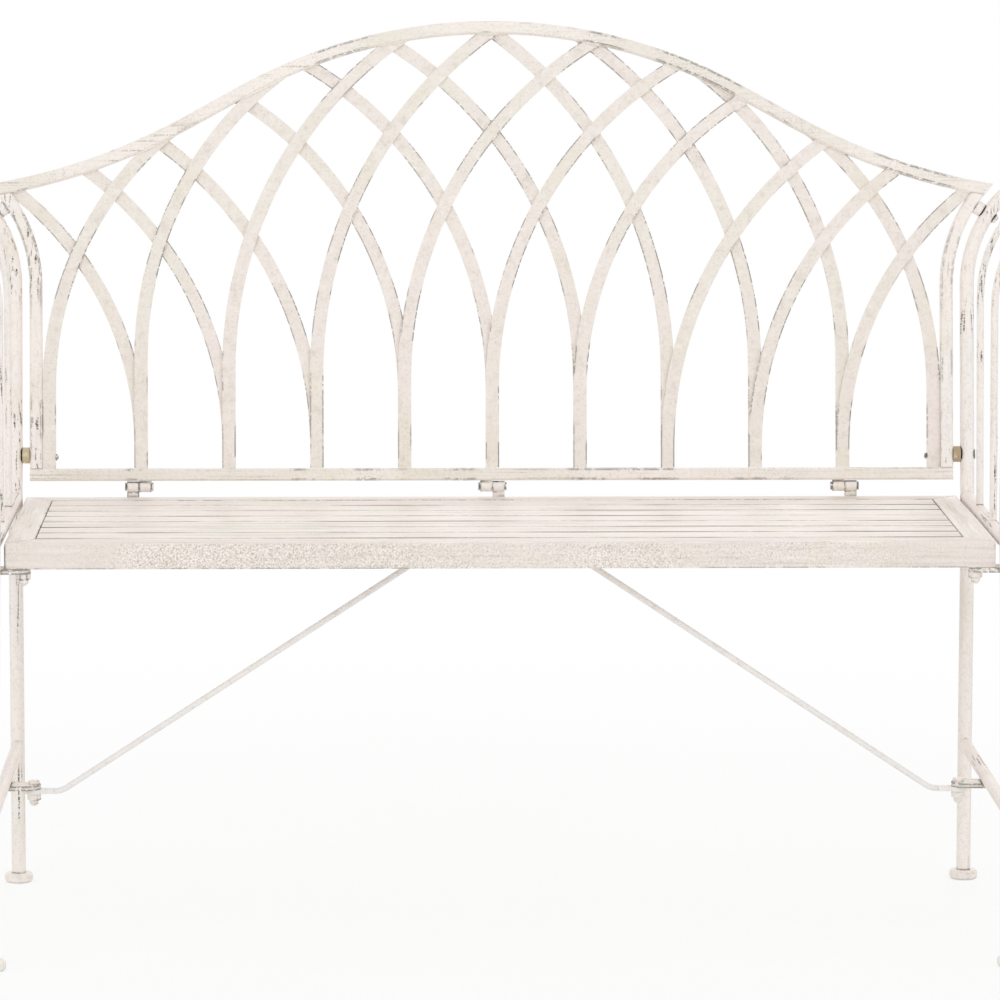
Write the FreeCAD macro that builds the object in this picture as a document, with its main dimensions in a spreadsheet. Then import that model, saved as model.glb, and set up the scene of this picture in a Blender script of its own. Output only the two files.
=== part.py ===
import FreeCAD, Part
import math
import os
import Sketcher
from FreeCAD import Placement, Rotation, Vector

doc = FreeCAD.newDocument("garden_bench")

# Driving dimensions, in millimetres and degrees
DIMENSIONS = [
    ("seat_height", 440.0),
    ("seat_width", 1054.0),
    ("seat_depth", 385.0),
    ("apron_height", 28.5),
    ("angle_flange", 31.0),
    ("angle_thick", 3.0),
    ("slat_gap", 5.0),
    ("slat_thick", 3.0),
    ("cross_bar_wide", 18.0),
    ("cross_bar_thick", 4.0),
    ("centre_bar_wide", 30.0),
    ("lug_size", 24.0),
    ("seat_side_gap", 3.5),
    ("post_dia", 16.0),
    ("bend_radius", 90.0),
    ("recline", 7.5),
    ("rear_bend_drop", 45.0),
    ("front_bend_rise", 18.0),
    ("front_post_setback", 3.0),
    ("front_foot_splay", 99.0),
    ("foot_dia", 32.0),
    ("foot_height", 10.5),
    ("foot_bevel", 2.2),
    ("arm_height", 816.0),
    ("arm_dia", 16.0),
    ("arm_overhang", 18.0),
    ("arm_bevel", 2.5),
    ("roll_radius", 145.0),
    ("roll_angle", 76.0),
    ("bar_dia", 8.0),
    ("side_rail_dia", 16.0),
    ("side_rail_drop", 2.0),
    ("stretcher_dia", 14.0),
    ("stretcher_height", 156.0),
    ("back_tube", 14.0),
    ("tube_bevel", 1.8),
    ("spacer_long", 8.5),
    ("back_rise", 18.0),
    ("arch_rise", 158.256),
    ("arch_share", 0.5632),
    ("arch_angle", 29.0),
    ("straight_share", 0.0657),
    ("flare_share", 0.661),
    ("flare_angle", 25.0),
    ("strip_wide", 15.0),
    ("strip_thick", 4.0),
    ("strip_inset", 26.0),
    ("strip_rise_1", 91.0),
    ("strip_rise_2", 125.0),
    ("strip_rise_3", 113.0),
    ("strip_rise_4", 108.0),
    ("strip_rise_5", 100.0),
    ("strip_rise_6", 91.0),
    ("strip_rise_7", 85.0),
    ("strip_rise_8", 23.0),
    ("strip_rise_9", 23.0),
    ("strip_rise_10", 23.0),
    ("strip_angle_1", 18.389),
    ("strip_angle_2", 14.532),
    ("strip_angle_3", 25.086),
    ("strip_angle_4", 35.887),
    ("strip_angle_5", 43.047),
    ("strip_angle_6", 52.043),
    ("strip_angle_7", 61.109),
    ("strip_angle_8", 61.690),
    ("strip_angle_9", 55.329),
    ("strip_angle_10", 49.979),
    ("barrel_dia", 12.0),
    ("knuckle_length", 13.5),
    ("knuckle_gap", 0.4),
    ("hinge_pin_dia", 6.0),
    ("hinge_clearance", 0.05),
    ("hinge_inset", 128.0),
    ("hinge_drop", 6.7),
    ("leaf_length", 22.0),
    ("leaf_thick", 4.0),
    ("bolt_dia", 6.0),
    ("bolt_clearance", 0.2),
    ("bolt_head_dia", 12.0),
    ("bolt_head_height", 4.0),
    ("lower_bolt_rise", 47.0),
    ("upper_bolt_angle", 5.66),
    ("lower_spacer_dia", 18.0),
    ("upper_spacer_dia", 16.0),
    ("tab_wide", 30.0),
    ("tab_thick", 5.0),
    ("tab_reach", 39.0),
    ("tab_bolt_inset", 31.5),
    ("tab_setback", 12.0),
    ("stay_tab_drop", 4.0),
    ("seat_bearing", 0.2),
    ("stud_stand", 8.0),
    ("stud_clearance", 1.6),
    ("nut_across", 13.0),
    ("nut_height", 7.0),
    ("nut_dome", 5.4),
    ("nut_dome_height", 6.5),
    ("stay_dia", 6.5),
    ("stay_eye_dia", 20.0),
    ("stay_eye_thick", 5.0),
    ("stay_foot_run", 30.0),
    ("stay_head_bend", 52.0),
    ("stay_bend_radius", 25.0),
    ("weld_gap", 0.1),
]

# Sizes that follow from the driving ones
FOLLOWING = [
    ("rear_bend_height", "=seat_height - rear_bend_drop"),
    ("front_bend_height", "=seat_height + front_bend_rise"),
    ("side_rail_height", "=seat_height - side_rail_drop"),
    ("post_span", "=seat_width + 2 * seat_side_gap + post_dia"),
    ("back_width", "=post_span - post_dia - 2 * spacer_long"),
    ("strip_pitch", "=(back_width / 2 - strip_inset) / 5"),
    ("arch_peak", "=(arm_height - seat_height) / cos(recline) + arch_rise"),
    ("arch_radius", "=arch_share * back_width"),
    ("arch_straight", "=straight_share * back_width"),
    ("flare_radius", "=flare_share * back_width"),
    ("hinge_spacing", "=seat_width / 2 - hinge_inset"),
    ("tab_tip", "=post_span / 2 - tab_reach"),
    ("tab_bolt", "=post_span / 2 - tab_bolt_inset"),
    ("stay_foot_bend", "=tab_bolt - stay_foot_run"),
]

sheet = doc.addObject("Spreadsheet::Sheet", "Dims")
for row, (alias, number) in enumerate(DIMENSIONS + FOLLOWING, start=1):
    sheet.set("A%d" % row, alias)
    sheet.set("B%d" % row, str(number))
    sheet.setAlias("B%d" % row, alias)
doc.recompute()


def dim(alias):
    """Value of one cell of the sheet."""
    return float(sheet.get(alias))


def bind(thing, prop, formula):
    """Bind one property to a formula of sheet cells."""
    thing.setExpression(prop, formula)


# Positions worked out from the sheet
RECLINE = math.radians(dim("recline"))
TUBE = dim("back_tube")
HALF_SPAN = dim("post_span") / 2
BACK_REACH = math.sin(RECLINE) * dim("arch_peak") + math.cos(RECLINE) * TUBE / 2
FOOT_REACH = dim("seat_depth") + dim("front_foot_splay")
POST_REACH = dim("seat_depth") - dim("front_post_setback")
POST_Y = (FOOT_REACH + dim("foot_dia") / 2 - BACK_REACH) / 2
SEAT_Z = dim("seat_height")
SEAT_FRONT = POST_Y - dim("seat_depth")
SEAM = dim("weld_gap")
ROLL = math.radians(dim("roll_angle"))
ROLL_R = dim("roll_radius")
ARM_Z = dim("arm_height")
ARM_X = HALF_SPAN + ROLL_R * (1 - math.cos(ROLL))
RAIL_TOP = dim("back_rise") + TUBE
STILE_U = dim("back_width") / 2 - TUBE / 2
ROLL_START = (ARM_Z - SEAT_Z) / math.cos(RECLINE) - ROLL_R * math.sin(ROLL)
ROLL_CENTRE_U = HALF_SPAN + ROLL_R
STILE_R = ROLL_CENTRE_U - STILE_U
BACK = Placement(Vector(0, POST_Y, SEAT_Z), Rotation(Vector(-1, 0, 0), dim("recline")))
X_AXIS = Vector(1, 0, 0)
Y_AXIS = Vector(0, 1, 0)
Z_AXIS = Vector(0, 0, 1)


def on_back(u, v):
    """Point on the reclined plane of the back: u across, v up from seat level."""
    return BACK.multVec(Vector(u, 0, v))


nodes = []


def node(thing, label):
    """Mark an object as a part to write."""
    thing.Label = label
    nodes.append(thing)
    return thing


# Plain solids and joins
def box(name, size, place):
    """Box whose three sizes are formulas."""
    thing = doc.addObject("Part::Box", name)
    bind(thing, "Length", size[0])
    bind(thing, "Width", size[1])
    bind(thing, "Height", size[2])
    thing.Placement = place
    return thing


def cylinder(name, radius, height, start, direction):
    """Cylinder from a start point along a direction."""
    thing = doc.addObject("Part::Cylinder", name)
    bind(thing, "Radius", radius)
    bind(thing, "Height", height)
    thing.Placement = Placement(start, Rotation(Z_AXIS, direction))
    return thing


def cut(name, base, tools):
    """Base with every tool taken away."""
    tool = tools[0]
    if len(tools) > 1:
        tool = fuse(name + "_tools", tools)
    thing = doc.addObject("Part::Cut", name)
    thing.Base = base
    thing.Tool = tool
    return thing


def fuse(name, shapes):
    """Several shapes joined into one."""
    thing = doc.addObject("Part::MultiFuse", name)
    thing.Shapes = shapes
    thing.Refine = True
    return thing


def common(name, base, tool):
    """The part of the base that lies inside the tool."""
    thing = doc.addObject("Part::Common", name)
    thing.Base = base
    thing.Tool = tool
    return thing


def mirrored(name, source):
    """The same piece on the other side of the bench."""
    thing = doc.addObject("Part::Mirroring", name)
    thing.Source = source
    thing.Base = Vector(0, 0, 0)
    thing.Normal = X_AXIS
    return thing


def group(name, pieces):
    """Like pieces kept apart in one node."""
    thing = doc.addObject("Part::Compound", name)
    thing.Links = pieces
    return thing


def pair(name, right_piece):
    """Right-hand piece and its mirror image as two nodes."""
    node(right_piece, "right_" + name)
    left_piece = mirrored("left_" + name + "_mirror", right_piece)
    return node(left_piece, "left_" + name)


# Paths for bent rods and tubes
def bent_path(points, radius):
    """Straight runs between points, with a tangent arc at each inner point."""
    edges = []
    start = points[0]
    for before, corner, after in zip(points, points[1:], points[2:]):
        back_way = (before - corner).normalize()
        on_way = (after - corner).normalize()
        turn = math.pi - back_way.getAngle(on_way)
        reach = radius * math.tan(turn / 2)
        enter = corner + back_way * reach
        leave = corner + on_way * reach
        inward = (back_way + on_way).normalize()
        middle = corner + inward * (radius / math.cos(turn / 2) - radius)
        edges.append(Part.LineSegment(start, enter).toShape())
        edges.append(Part.Arc(enter, middle, leave).toShape())
        start = leave
    edges.append(Part.LineSegment(start, points[-1]).toShape())
    return edges


def roll_arc(start, up):
    """Arc that rolls a rod outward from its upright run."""
    half = ROLL / 2
    middle = start + X_AXIS * (ROLL_R * (1 - math.cos(half))) + up * (ROLL_R * math.sin(half))
    end = start + X_AXIS * (ROLL_R * (1 - math.cos(ROLL))) + up * (ROLL_R * math.sin(ROLL))
    return Part.Arc(start, middle, end).toShape()


def rod(name, radius, edges):
    """Round bar along a path: a cylinder for each straight run, part of a torus for each bend."""
    pieces = []
    for number, edge in enumerate(edges, start=1):
        tag = "%s_run_%d" % (name, number)
        start = edge.valueAt(edge.FirstParameter)
        way = edge.tangentAt(edge.FirstParameter)
        if isinstance(edge.Curve, Part.Circle):
            outward = (start - edge.Curve.Center).normalize()
            bend = doc.addObject("Part::Torus", tag)
            bend.Radius1 = edge.Curve.Radius
            bind(bend, "Radius2", radius)
            bend.Angle3 = math.degrees(edge.Length / edge.Curve.Radius)
            bend.Placement = Placement(edge.Curve.Center, Rotation(outward, way, outward.cross(way), "ZXY"))
            pieces.append(bend)
        else:
            pieces.append(cylinder(tag, radius, "%.6f" % edge.Length, start, way))
    return fuse(name, pieces)


def bevel(name, solid, wanted, size):
    """Solid with the wanted edges bevelled; wanted is a test of one edge."""
    doc.recompute()
    numbers = [number for number, edge in enumerate(solid.Shape.Edges, start=1) if wanted(edge)]
    thing = doc.addObject("Part::Chamfer", name)
    thing.Base = solid
    thing.Edges = [(number, size, size) for number in numbers]
    return thing


# Outline of the top rail, in the plane of the back
def rail_edge(depth, sweep_angle):
    """Corner points of one edge of the rail's right half, depth below its outer edge."""
    slope = math.radians(dim("arch_angle"))
    centre = Vector(0, 0, dim("arch_peak") - dim("arch_radius"))
    radius = dim("arch_radius") - depth
    peak = centre + Z_AXIS * radius
    half = slope / 2
    arch_mid = centre + Vector(math.sin(half), 0, math.cos(half)) * radius
    arch_end = centre + Vector(math.sin(slope), 0, math.cos(slope)) * radius
    flare_start = arch_end + Vector(math.cos(slope), 0, -math.sin(slope)) * dim("arch_straight")
    flare_radius = dim("flare_radius") + depth
    flare_centre = flare_start + Vector(math.sin(slope), 0, math.cos(slope)) * flare_radius
    last = slope - math.radians(sweep_angle)
    between = (slope + last) / 2
    flare_mid = flare_centre - Vector(math.sin(between), 0, math.cos(between)) * flare_radius
    flare_end = flare_centre - Vector(math.sin(last), 0, math.cos(last)) * flare_radius
    return {
        "peak": peak, "arch_mid": arch_mid, "arch_end": arch_end, "flare_start": flare_start,
        "flare_mid": flare_mid, "flare_end": flare_end, "flare_centre": flare_centre,
        "flare_radius": flare_radius, "centre": centre, "radius": radius,
    }


def flip(point):
    """Mirror image of a point."""
    return Vector(-point.x, point.y, point.z)


def rail_edges(depth, sweep_angle):
    """Edge of the rail from its left end to its right end."""
    edge = rail_edge(depth, sweep_angle)
    return [
        Part.Arc(flip(edge["flare_end"]), flip(edge["flare_mid"]), flip(edge["flare_start"])).toShape(),
        Part.LineSegment(flip(edge["flare_start"]), flip(edge["arch_end"])).toShape(),
        Part.Arc(flip(edge["arch_end"]), edge["peak"], edge["arch_end"]).toShape(),
        Part.LineSegment(edge["arch_end"], edge["flare_start"]).toShape(),
        Part.Arc(edge["flare_start"], edge["flare_mid"], edge["flare_end"]).toShape(),
    ]


def under_rail(u):
    """Height of the rail's lower edge at a place across the back."""
    edge = rail_edge(TUBE, dim("flare_angle"))
    across = abs(u)
    if across < edge["arch_end"].x:
        return edge["centre"].z + math.sqrt(edge["radius"] ** 2 - across ** 2)
    if across < edge["flare_start"].x:
        fall = (across - edge["arch_end"].x) * math.tan(math.radians(dim("arch_angle")))
        return edge["arch_end"].z - fall
    spread = edge["flare_centre"].x - across
    return edge["flare_centre"].z - math.sqrt(edge["flare_radius"] ** 2 - spread ** 2)


def rail_climb(u):
    """Angle at which the rail's lower edge climbs to the right at a place across the back."""
    edge = rail_edge(TUBE, dim("flare_angle"))
    across = abs(u)
    if across < edge["arch_end"].x:
        climb = math.asin(across / edge["radius"])
    elif across < edge["flare_start"].x:
        climb = math.radians(dim("arch_angle"))
    else:
        climb = math.asin((edge["flare_centre"].x - across) / edge["flare_radius"])
    return math.copysign(1, -u) * climb


def where_meets(radius, edge):
    """Where a circle about the roll centre meets the flare's edge, in the plane of the back."""
    roll_centre = Vector(ROLL_CENTRE_U, 0, ROLL_START)
    apart = edge["flare_centre"] - roll_centre
    reach = apart.Length
    along = (reach ** 2 + radius ** 2 - edge["flare_radius"] ** 2) / (2 * reach)
    aside = math.sqrt(radius ** 2 - along ** 2)
    way = apart / reach
    return roll_centre + way * along + Vector(-way.z, 0, way.x) * aside


def slab(name, edges):
    """Flat region of the back plane, thick enough to trim the back's pieces."""
    thing = doc.addObject("Part::Feature", name)
    face = Part.Face(Part.Wire(edges))
    thick = 4 * TUBE
    face.translate(Vector(0, -thick / 2, 0))
    thing.Shape = face.extrude(Vector(0, thick, 0))
    return thing


# Region under the top rail, for the stiles
under = rail_edge(TUBE + SEAM, dim("flare_angle") + 3)
under_edges = rail_edges(TUBE + SEAM, dim("flare_angle") + 3)
low_right = Vector(under["flare_end"].x, 0, 0)
under_edges.append(Part.LineSegment(under["flare_end"], low_right).toShape())
under_edges.append(Part.LineSegment(low_right, flip(low_right)).toShape())
under_edges.append(Part.LineSegment(flip(low_right), flip(under["flare_end"])).toShape())
under_field = slab("under_field", under_edges)

# Region inside the stiles and under the top rail, for the strips
inner_r = STILE_R + TUBE / 2 + SEAM
shoulder = where_meets(inner_r, under)
stile_top = Vector(ROLL_CENTRE_U - inner_r, 0, ROLL_START)
stile_foot = Vector(stile_top.x, 0, RAIL_TOP)
shoulder_turn = math.asin((shoulder.z - ROLL_START) / inner_r) / 2
stile_mid = Vector(
    ROLL_CENTRE_U - inner_r * math.cos(shoulder_turn), 0, ROLL_START + inner_r * math.sin(shoulder_turn))
shoulder_angle = math.asin((under["flare_centre"].x - shoulder.x) / under["flare_radius"])
flare_half = (math.radians(dim("arch_angle")) + shoulder_angle) / 2
flare_way = Vector(math.sin(flare_half), 0, math.cos(flare_half))
flare_mid = under["flare_centre"] - flare_way * under["flare_radius"]
right_side = [
    Part.LineSegment(under["arch_end"], under["flare_start"]).toShape(),
    Part.Arc(under["flare_start"], flare_mid, shoulder).toShape(),
    Part.Arc(shoulder, stile_mid, stile_top).toShape(),
    Part.LineSegment(stile_top, stile_foot).toShape(),
]
left_side = [
    Part.LineSegment(flip(stile_foot), flip(stile_top)).toShape(),
    Part.Arc(flip(stile_top), flip(stile_mid), flip(shoulder)).toShape(),
    Part.Arc(flip(shoulder), flip(flare_mid), flip(under["flare_start"])).toShape(),
    Part.LineSegment(flip(under["flare_start"]), flip(under["arch_end"])).toShape(),
]
arch = Part.Arc(flip(under["arch_end"]), under["peak"], under["arch_end"]).toShape()
sill = Part.LineSegment(stile_foot, flip(stile_foot)).toShape()
strip_field = slab("strip_field", left_side + [arch] + right_side + [sill])

# Top rail: one tube arched in the middle and flared at both ends, cut along the stiles
rail_end = where_meets(STILE_R - TUBE / 2, rail_edge(TUBE, dim("flare_angle")))
end_way = (Vector(ROLL_CENTRE_U, 0, ROLL_START) - rail_end).normalize()
end_turn = math.atan2(-end_way.z, end_way.x)
end_along = Vector(-end_way.z, 0, end_way.x)


def band_end(edge, inset):
    """Where an edge of the rail meets the end cut, moved inward by the inset."""
    origin = rail_end - end_way * inset - edge["flare_centre"]
    half_b = origin.dot(end_along)
    reach = -half_b - math.sqrt(half_b ** 2 - origin.dot(origin) + edge["flare_radius"] ** 2)
    return edge["flare_centre"] + origin + end_along * reach


def half_edge(depth, inset):
    """One edge of the rail's right half, from its middle outward, as arcs and lines of corner points."""
    edge = rail_edge(depth, dim("flare_angle"))
    last = band_end(edge, inset)
    slope = math.radians(dim("arch_angle"))
    last_angle = math.asin((edge["flare_centre"].x - last.x) / edge["flare_radius"])
    between = (slope + last_angle) / 2
    middle = edge["flare_centre"] - Vector(math.sin(between), 0, math.cos(between)) * edge["flare_radius"]
    return edge, middle, last


def rail_band(name, high, low, inset):
    """Flat face of the rail between two depths below its outer edge, closed by the end cuts."""
    edges = []
    for depth in (high, low):
        edge, middle, last = half_edge(depth, inset)
        edges.append(Part.Arc(flip(last), flip(middle), flip(edge["flare_start"])).toShape())
        edges.append(Part.LineSegment(flip(edge["flare_start"]), flip(edge["arch_end"])).toShape())
        edges.append(Part.Arc(flip(edge["arch_end"]), edge["peak"], edge["arch_end"]).toShape())
        edges.append(Part.LineSegment(edge["arch_end"], edge["flare_start"]).toShape())
        edges.append(Part.Arc(edge["flare_start"], middle, last).toShape())
    upper = half_edge(high, inset)[2]
    lower = half_edge(low, inset)[2]
    edges.append(Part.LineSegment(upper, lower).toShape())
    edges.append(Part.LineSegment(flip(upper), flip(lower)).toShape())
    thing = doc.addObject("Part::Feature", name)
    thing.Shape = Part.Face(Part.Wire(Part.__sortEdges__(edges)))
    return thing


def thicken(name, face, thick):
    """Flat face made solid, half its thickness to each side."""
    thing = doc.addObject("Part::Extrusion", name)
    thing.Base = face
    thing.DirMode = "Custom"
    thing.Dir = Y_AXIS
    bind(thing, "LengthFwd", thick)
    thing.Symmetric = True
    thing.Solid = True
    return thing


def side_edge(edge):
    """True for the long edges on the two flat sides of a thickened band."""
    return edge.BoundBox.YLength < 0.01 and edge.Length > 2 * TUBE


def square_bar(name, face):
    """Square bar bent in the plane of the back, its long edges bevelled."""
    return bevel(name, thicken(name + "_solid", face, "Dims.back_tube"), side_edge, dim("tube_bevel"))


top_rail = square_bar("top_rail_bar", rail_band("rail_face", 0, TUBE, 0))
top_rail.Placement = BACK
node(top_rail, "top_rail")

# Bottom rail: straight bar across the back
rail_half = dim("back_width") / 2
rail_solid = box(
    "bottom_rail_solid", ("Dims.back_width", "Dims.back_tube", "Dims.back_tube"),
    Placement(Vector(-rail_half, -TUBE / 2, dim("back_rise")), Rotation()))


def long_edge(edge):
    """True for the edges that run across the back."""
    return edge.Length > rail_half


bottom_rail = bevel("bottom_rail_bar", rail_solid, long_edge, dim("tube_bevel"))
bottom_rail.Placement = BACK
node(bottom_rail, "bottom_rail")

# Bolt lines of the back: lower one level, upper one square to the rolled stile
upper_turn = end_turn - math.radians(dim("upper_bolt_angle"))
roll_centre = Vector(ROLL_CENTRE_U, 0, ROLL_START)
upper_way = Vector(-math.cos(upper_turn), 0, math.sin(upper_turn))
lower_way = Vector(-1, 0, 0)
lower_start = Vector(HALF_SPAN, 0, dim("lower_bolt_rise"))
upper_start = roll_centre + upper_way * ROLL_R
HOLE = "Dims.bolt_dia / 2 + Dims.bolt_clearance"


def bolt_hole(name, start, way, reach):
    """Bolt hole through the post and as far past the stile's outer face as its reach."""
    begin = start - way * dim("post_dia")
    return cylinder(
        name, HOLE, "Dims.post_dia + (Dims.post_span - Dims.back_width) / 2 + " + reach, begin, way)


# Stiles: upright bars that follow the posts' outward roll, trimmed under the top rail
stile_turn = end_turn + math.radians(dim("arch_angle")) / 2


def stile_side(radius):
    """One side of a stile: upright run and rolled arc about the roll centre."""
    foot = Vector(ROLL_CENTRE_U - radius, 0, RAIL_TOP + SEAM)
    knee = Vector(ROLL_CENTRE_U - radius, 0, ROLL_START)
    middle = roll_centre + Vector(-math.cos(stile_turn / 2), 0, math.sin(stile_turn / 2)) * radius
    head = roll_centre + Vector(-math.cos(stile_turn), 0, math.sin(stile_turn)) * radius
    return foot, knee, middle, head


stile_edges = []
stile_ends = []
for radius in (STILE_R - TUBE / 2, STILE_R + TUBE / 2):
    foot, knee, middle, head = stile_side(radius)
    stile_edges.append(Part.LineSegment(foot, knee).toShape())
    stile_edges.append(Part.Arc(knee, middle, head).toShape())
    stile_ends.append((foot, head))
stile_edges.append(Part.LineSegment(stile_ends[0][0], stile_ends[1][0]).toShape())
stile_edges.append(Part.LineSegment(stile_ends[0][1], stile_ends[1][1]).toShape())
stile_face = doc.addObject("Part::Feature", "stile_face")
stile_face.Shape = Part.Face(Part.Wire(Part.__sortEdges__(stile_edges)))
stile_trim = common("stile_trim", square_bar("stile_bar", stile_face), under_field)
stile_holes = [
    bolt_hole("stile_hole_low", lower_start, lower_way, "Dims.back_tube / 2 + Dims.bolt_clearance"),
    bolt_hole("stile_hole_high", upper_start, upper_way, "Dims.back_tube / 2 + Dims.bolt_clearance")]
right_stile = cut("right_stile_cut", stile_trim, stile_holes)
right_stile.Placement = BACK
pair("stile", right_stile)


# Interlaced strips: straight off the bottom rail, then one bend over to the top rail
def plane_of(body, role):
    """Origin plane of a body."""
    for feature in body.Origin.OriginFeatures:
        if feature.Role == role:
            return feature
    return None


def body_sketch(body, name, role):
    """Sketch attached to an origin plane of its own body."""
    sketch = body.newObject("Sketcher::SketchObject", name)
    sketch.AttachmentSupport = [(plane_of(body, role), "")]
    sketch.MapMode = "FlatFace"
    return sketch


def size_constraint(sketch, label, constraint, formula):
    """Named dimension of a sketch, bound to the sheet."""
    index = sketch.addConstraint(constraint)
    sketch.renameConstraint(index, label)
    bind(sketch, "Constraints." + label, formula)


def whole_turn(foot, rise, bend):
    """Bend angle, in degrees, at which a strip has passed wholly under the rail."""
    half = dim("strip_wide") / 2
    turn = 0.0
    inside = True
    while inside and turn < 80:
        turn += 0.5
        angle = math.radians(turn)
        low_r = bend - half
        across = foot + bend - low_r * math.cos(angle)
        height = RAIL_TOP + rise + low_r * math.sin(angle)
        inside = abs(across) > rail_half or height < under_rail(across)
    return turn


def landing(foot, rise, number, across):
    """Bend radius of a strip that meets the rail at its own angle, and how far above the rail it ends."""
    turn = math.pi / 2 - rail_climb(across) - math.radians(dim("strip_angle_%d" % number))
    bend = (across - foot) / (1 - math.cos(turn))
    return bend, RAIL_TOP + rise + bend * math.sin(turn) - under_rail(across)


def landing_bend(foot, rise, number):
    """Bend radius with which a strip's middle line meets the rail's lower edge at its own angle."""
    step = dim("strip_wide") / 2
    high = foot + step
    while landing(foot, rise, number, high)[1] < 0:
        high += step
    low = high - step
    while high - low > 1e-7:
        across = (low + high) / 2
        if landing(foot, rise, number, across)[1] < 0:
            low = across
        else:
            high = across
    return landing(foot, rise, number, high)[0]


END_FOOT = "(Dims.back_width / 2 - Dims.back_tube - Dims.strip_wide / 2 - 3 * Dims.weld_gap)"


def strip(name, number, side):
    """One strip; side -1 leans right in the front layer, side 1 leans left in the rear layer."""
    rise = dim("strip_rise_%d" % number)
    if number == 1:
        foot = STILE_U - TUBE / 2 - dim("strip_wide") / 2 - 3 * SEAM
        foot_formula = END_FOOT
    else:
        foot = (6 - number) * dim("strip_pitch")
        foot_formula = "%d * Dims.strip_pitch" % (6 - number)
    bend = landing_bend(-foot, rise, number)
    turn = math.radians(whole_turn(-foot, rise, bend))
    foot_x = side * foot
    foot_formula = "%d * %s" % (side, foot_formula)
    body = doc.addObject("PartDesign::Body", name + "_body")
    outline = body_sketch(body, name + "_outline", "XZ_Plane")
    half = dim("strip_wide") / 2
    knee_z = RAIL_TOP + rise
    centre = Vector(foot_x - side * bend, knee_z, 0)
    ends = []
    for radius in (bend + half, bend - half):
        edge_x = centre.x + side * radius
        circle = Part.Circle(centre, Z_AXIS, radius)
        outline.addGeometry(Part.LineSegment(Vector(edge_x, RAIL_TOP, 0), Vector(edge_x, knee_z, 0)))
        if side < 0:
            outline.addGeometry(Part.ArcOfCircle(circle, math.pi - turn, math.pi))
        else:
            outline.addGeometry(Part.ArcOfCircle(circle, 0, turn))
        tip = centre + Vector(side * math.cos(turn), math.sin(turn), 0) * radius
        ends.append((Vector(edge_x, RAIL_TOP, 0), tip))
    outline.addGeometry(Part.LineSegment(ends[0][0], ends[1][0]))
    outline.addGeometry(Part.LineSegment(ends[0][1], ends[1][1]))
    near_end = 2 if side < 0 else 1
    far_end = 3 - near_end
    for line, arc in ((0, 1), (2, 3)):
        outline.addConstraint(Sketcher.Constraint("Tangent", line, 2, arc, near_end))
        outline.addConstraint(Sketcher.Constraint("Vertical", line))
    outline.addConstraint(Sketcher.Constraint("Coincident", 1, 3, 3, 3))
    outline.addConstraint(Sketcher.Constraint("Coincident", 4, 1, 0, 1))
    outline.addConstraint(Sketcher.Constraint("Coincident", 4, 2, 2, 1))
    outline.addConstraint(Sketcher.Constraint("Horizontal", 4))
    outline.addConstraint(Sketcher.Constraint("Coincident", 5, 1, 1, far_end))
    outline.addConstraint(Sketcher.Constraint("Coincident", 5, 2, 3, far_end))
    outline.addConstraint(Sketcher.Constraint("PointOnObject", 1, 3, 5))
    outline.addConstraint(Sketcher.Constraint("Angle", 1, turn))
    far_x = ends[0][0].x
    size_constraint(
        outline, "foot", Sketcher.Constraint("DistanceX", -1, 1, 0, 1, far_x),
        foot_formula + " + %d * Dims.strip_wide / 2" % side)
    size_constraint(
        outline, "sill", Sketcher.Constraint("DistanceY", -1, 1, 0, 1, RAIL_TOP),
        "Dims.back_rise + Dims.back_tube")
    size_constraint(
        outline, "rise", Sketcher.Constraint("DistanceY", 0, 1, 0, 2, rise), "Dims.strip_rise_%d" % number)
    size_constraint(
        outline, "outer", Sketcher.Constraint("Radius", 1, bend + half), "%.6f + Dims.strip_wide / 2" % bend)
    size_constraint(
        outline, "inner", Sketcher.Constraint("Radius", 3, bend - half), "%.6f - Dims.strip_wide / 2" % bend)
    pad = body.newObject("PartDesign::Pad", name + "_pad")
    pad.Profile = outline
    bind(pad, "Length", "Dims.strip_thick")
    pad.Reversed = side > 0
    trimmed = common(name + "_trim", body, strip_field)
    trimmed.Placement = BACK
    return trimmed


for number in range(1, 11):
    node(strip("front_strip_%02d" % number, number, -1), "front_strip_%02d" % number)
    node(strip("rear_strip_%02d" % number, number, 1), "rear_strip_%02d" % number)


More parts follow.
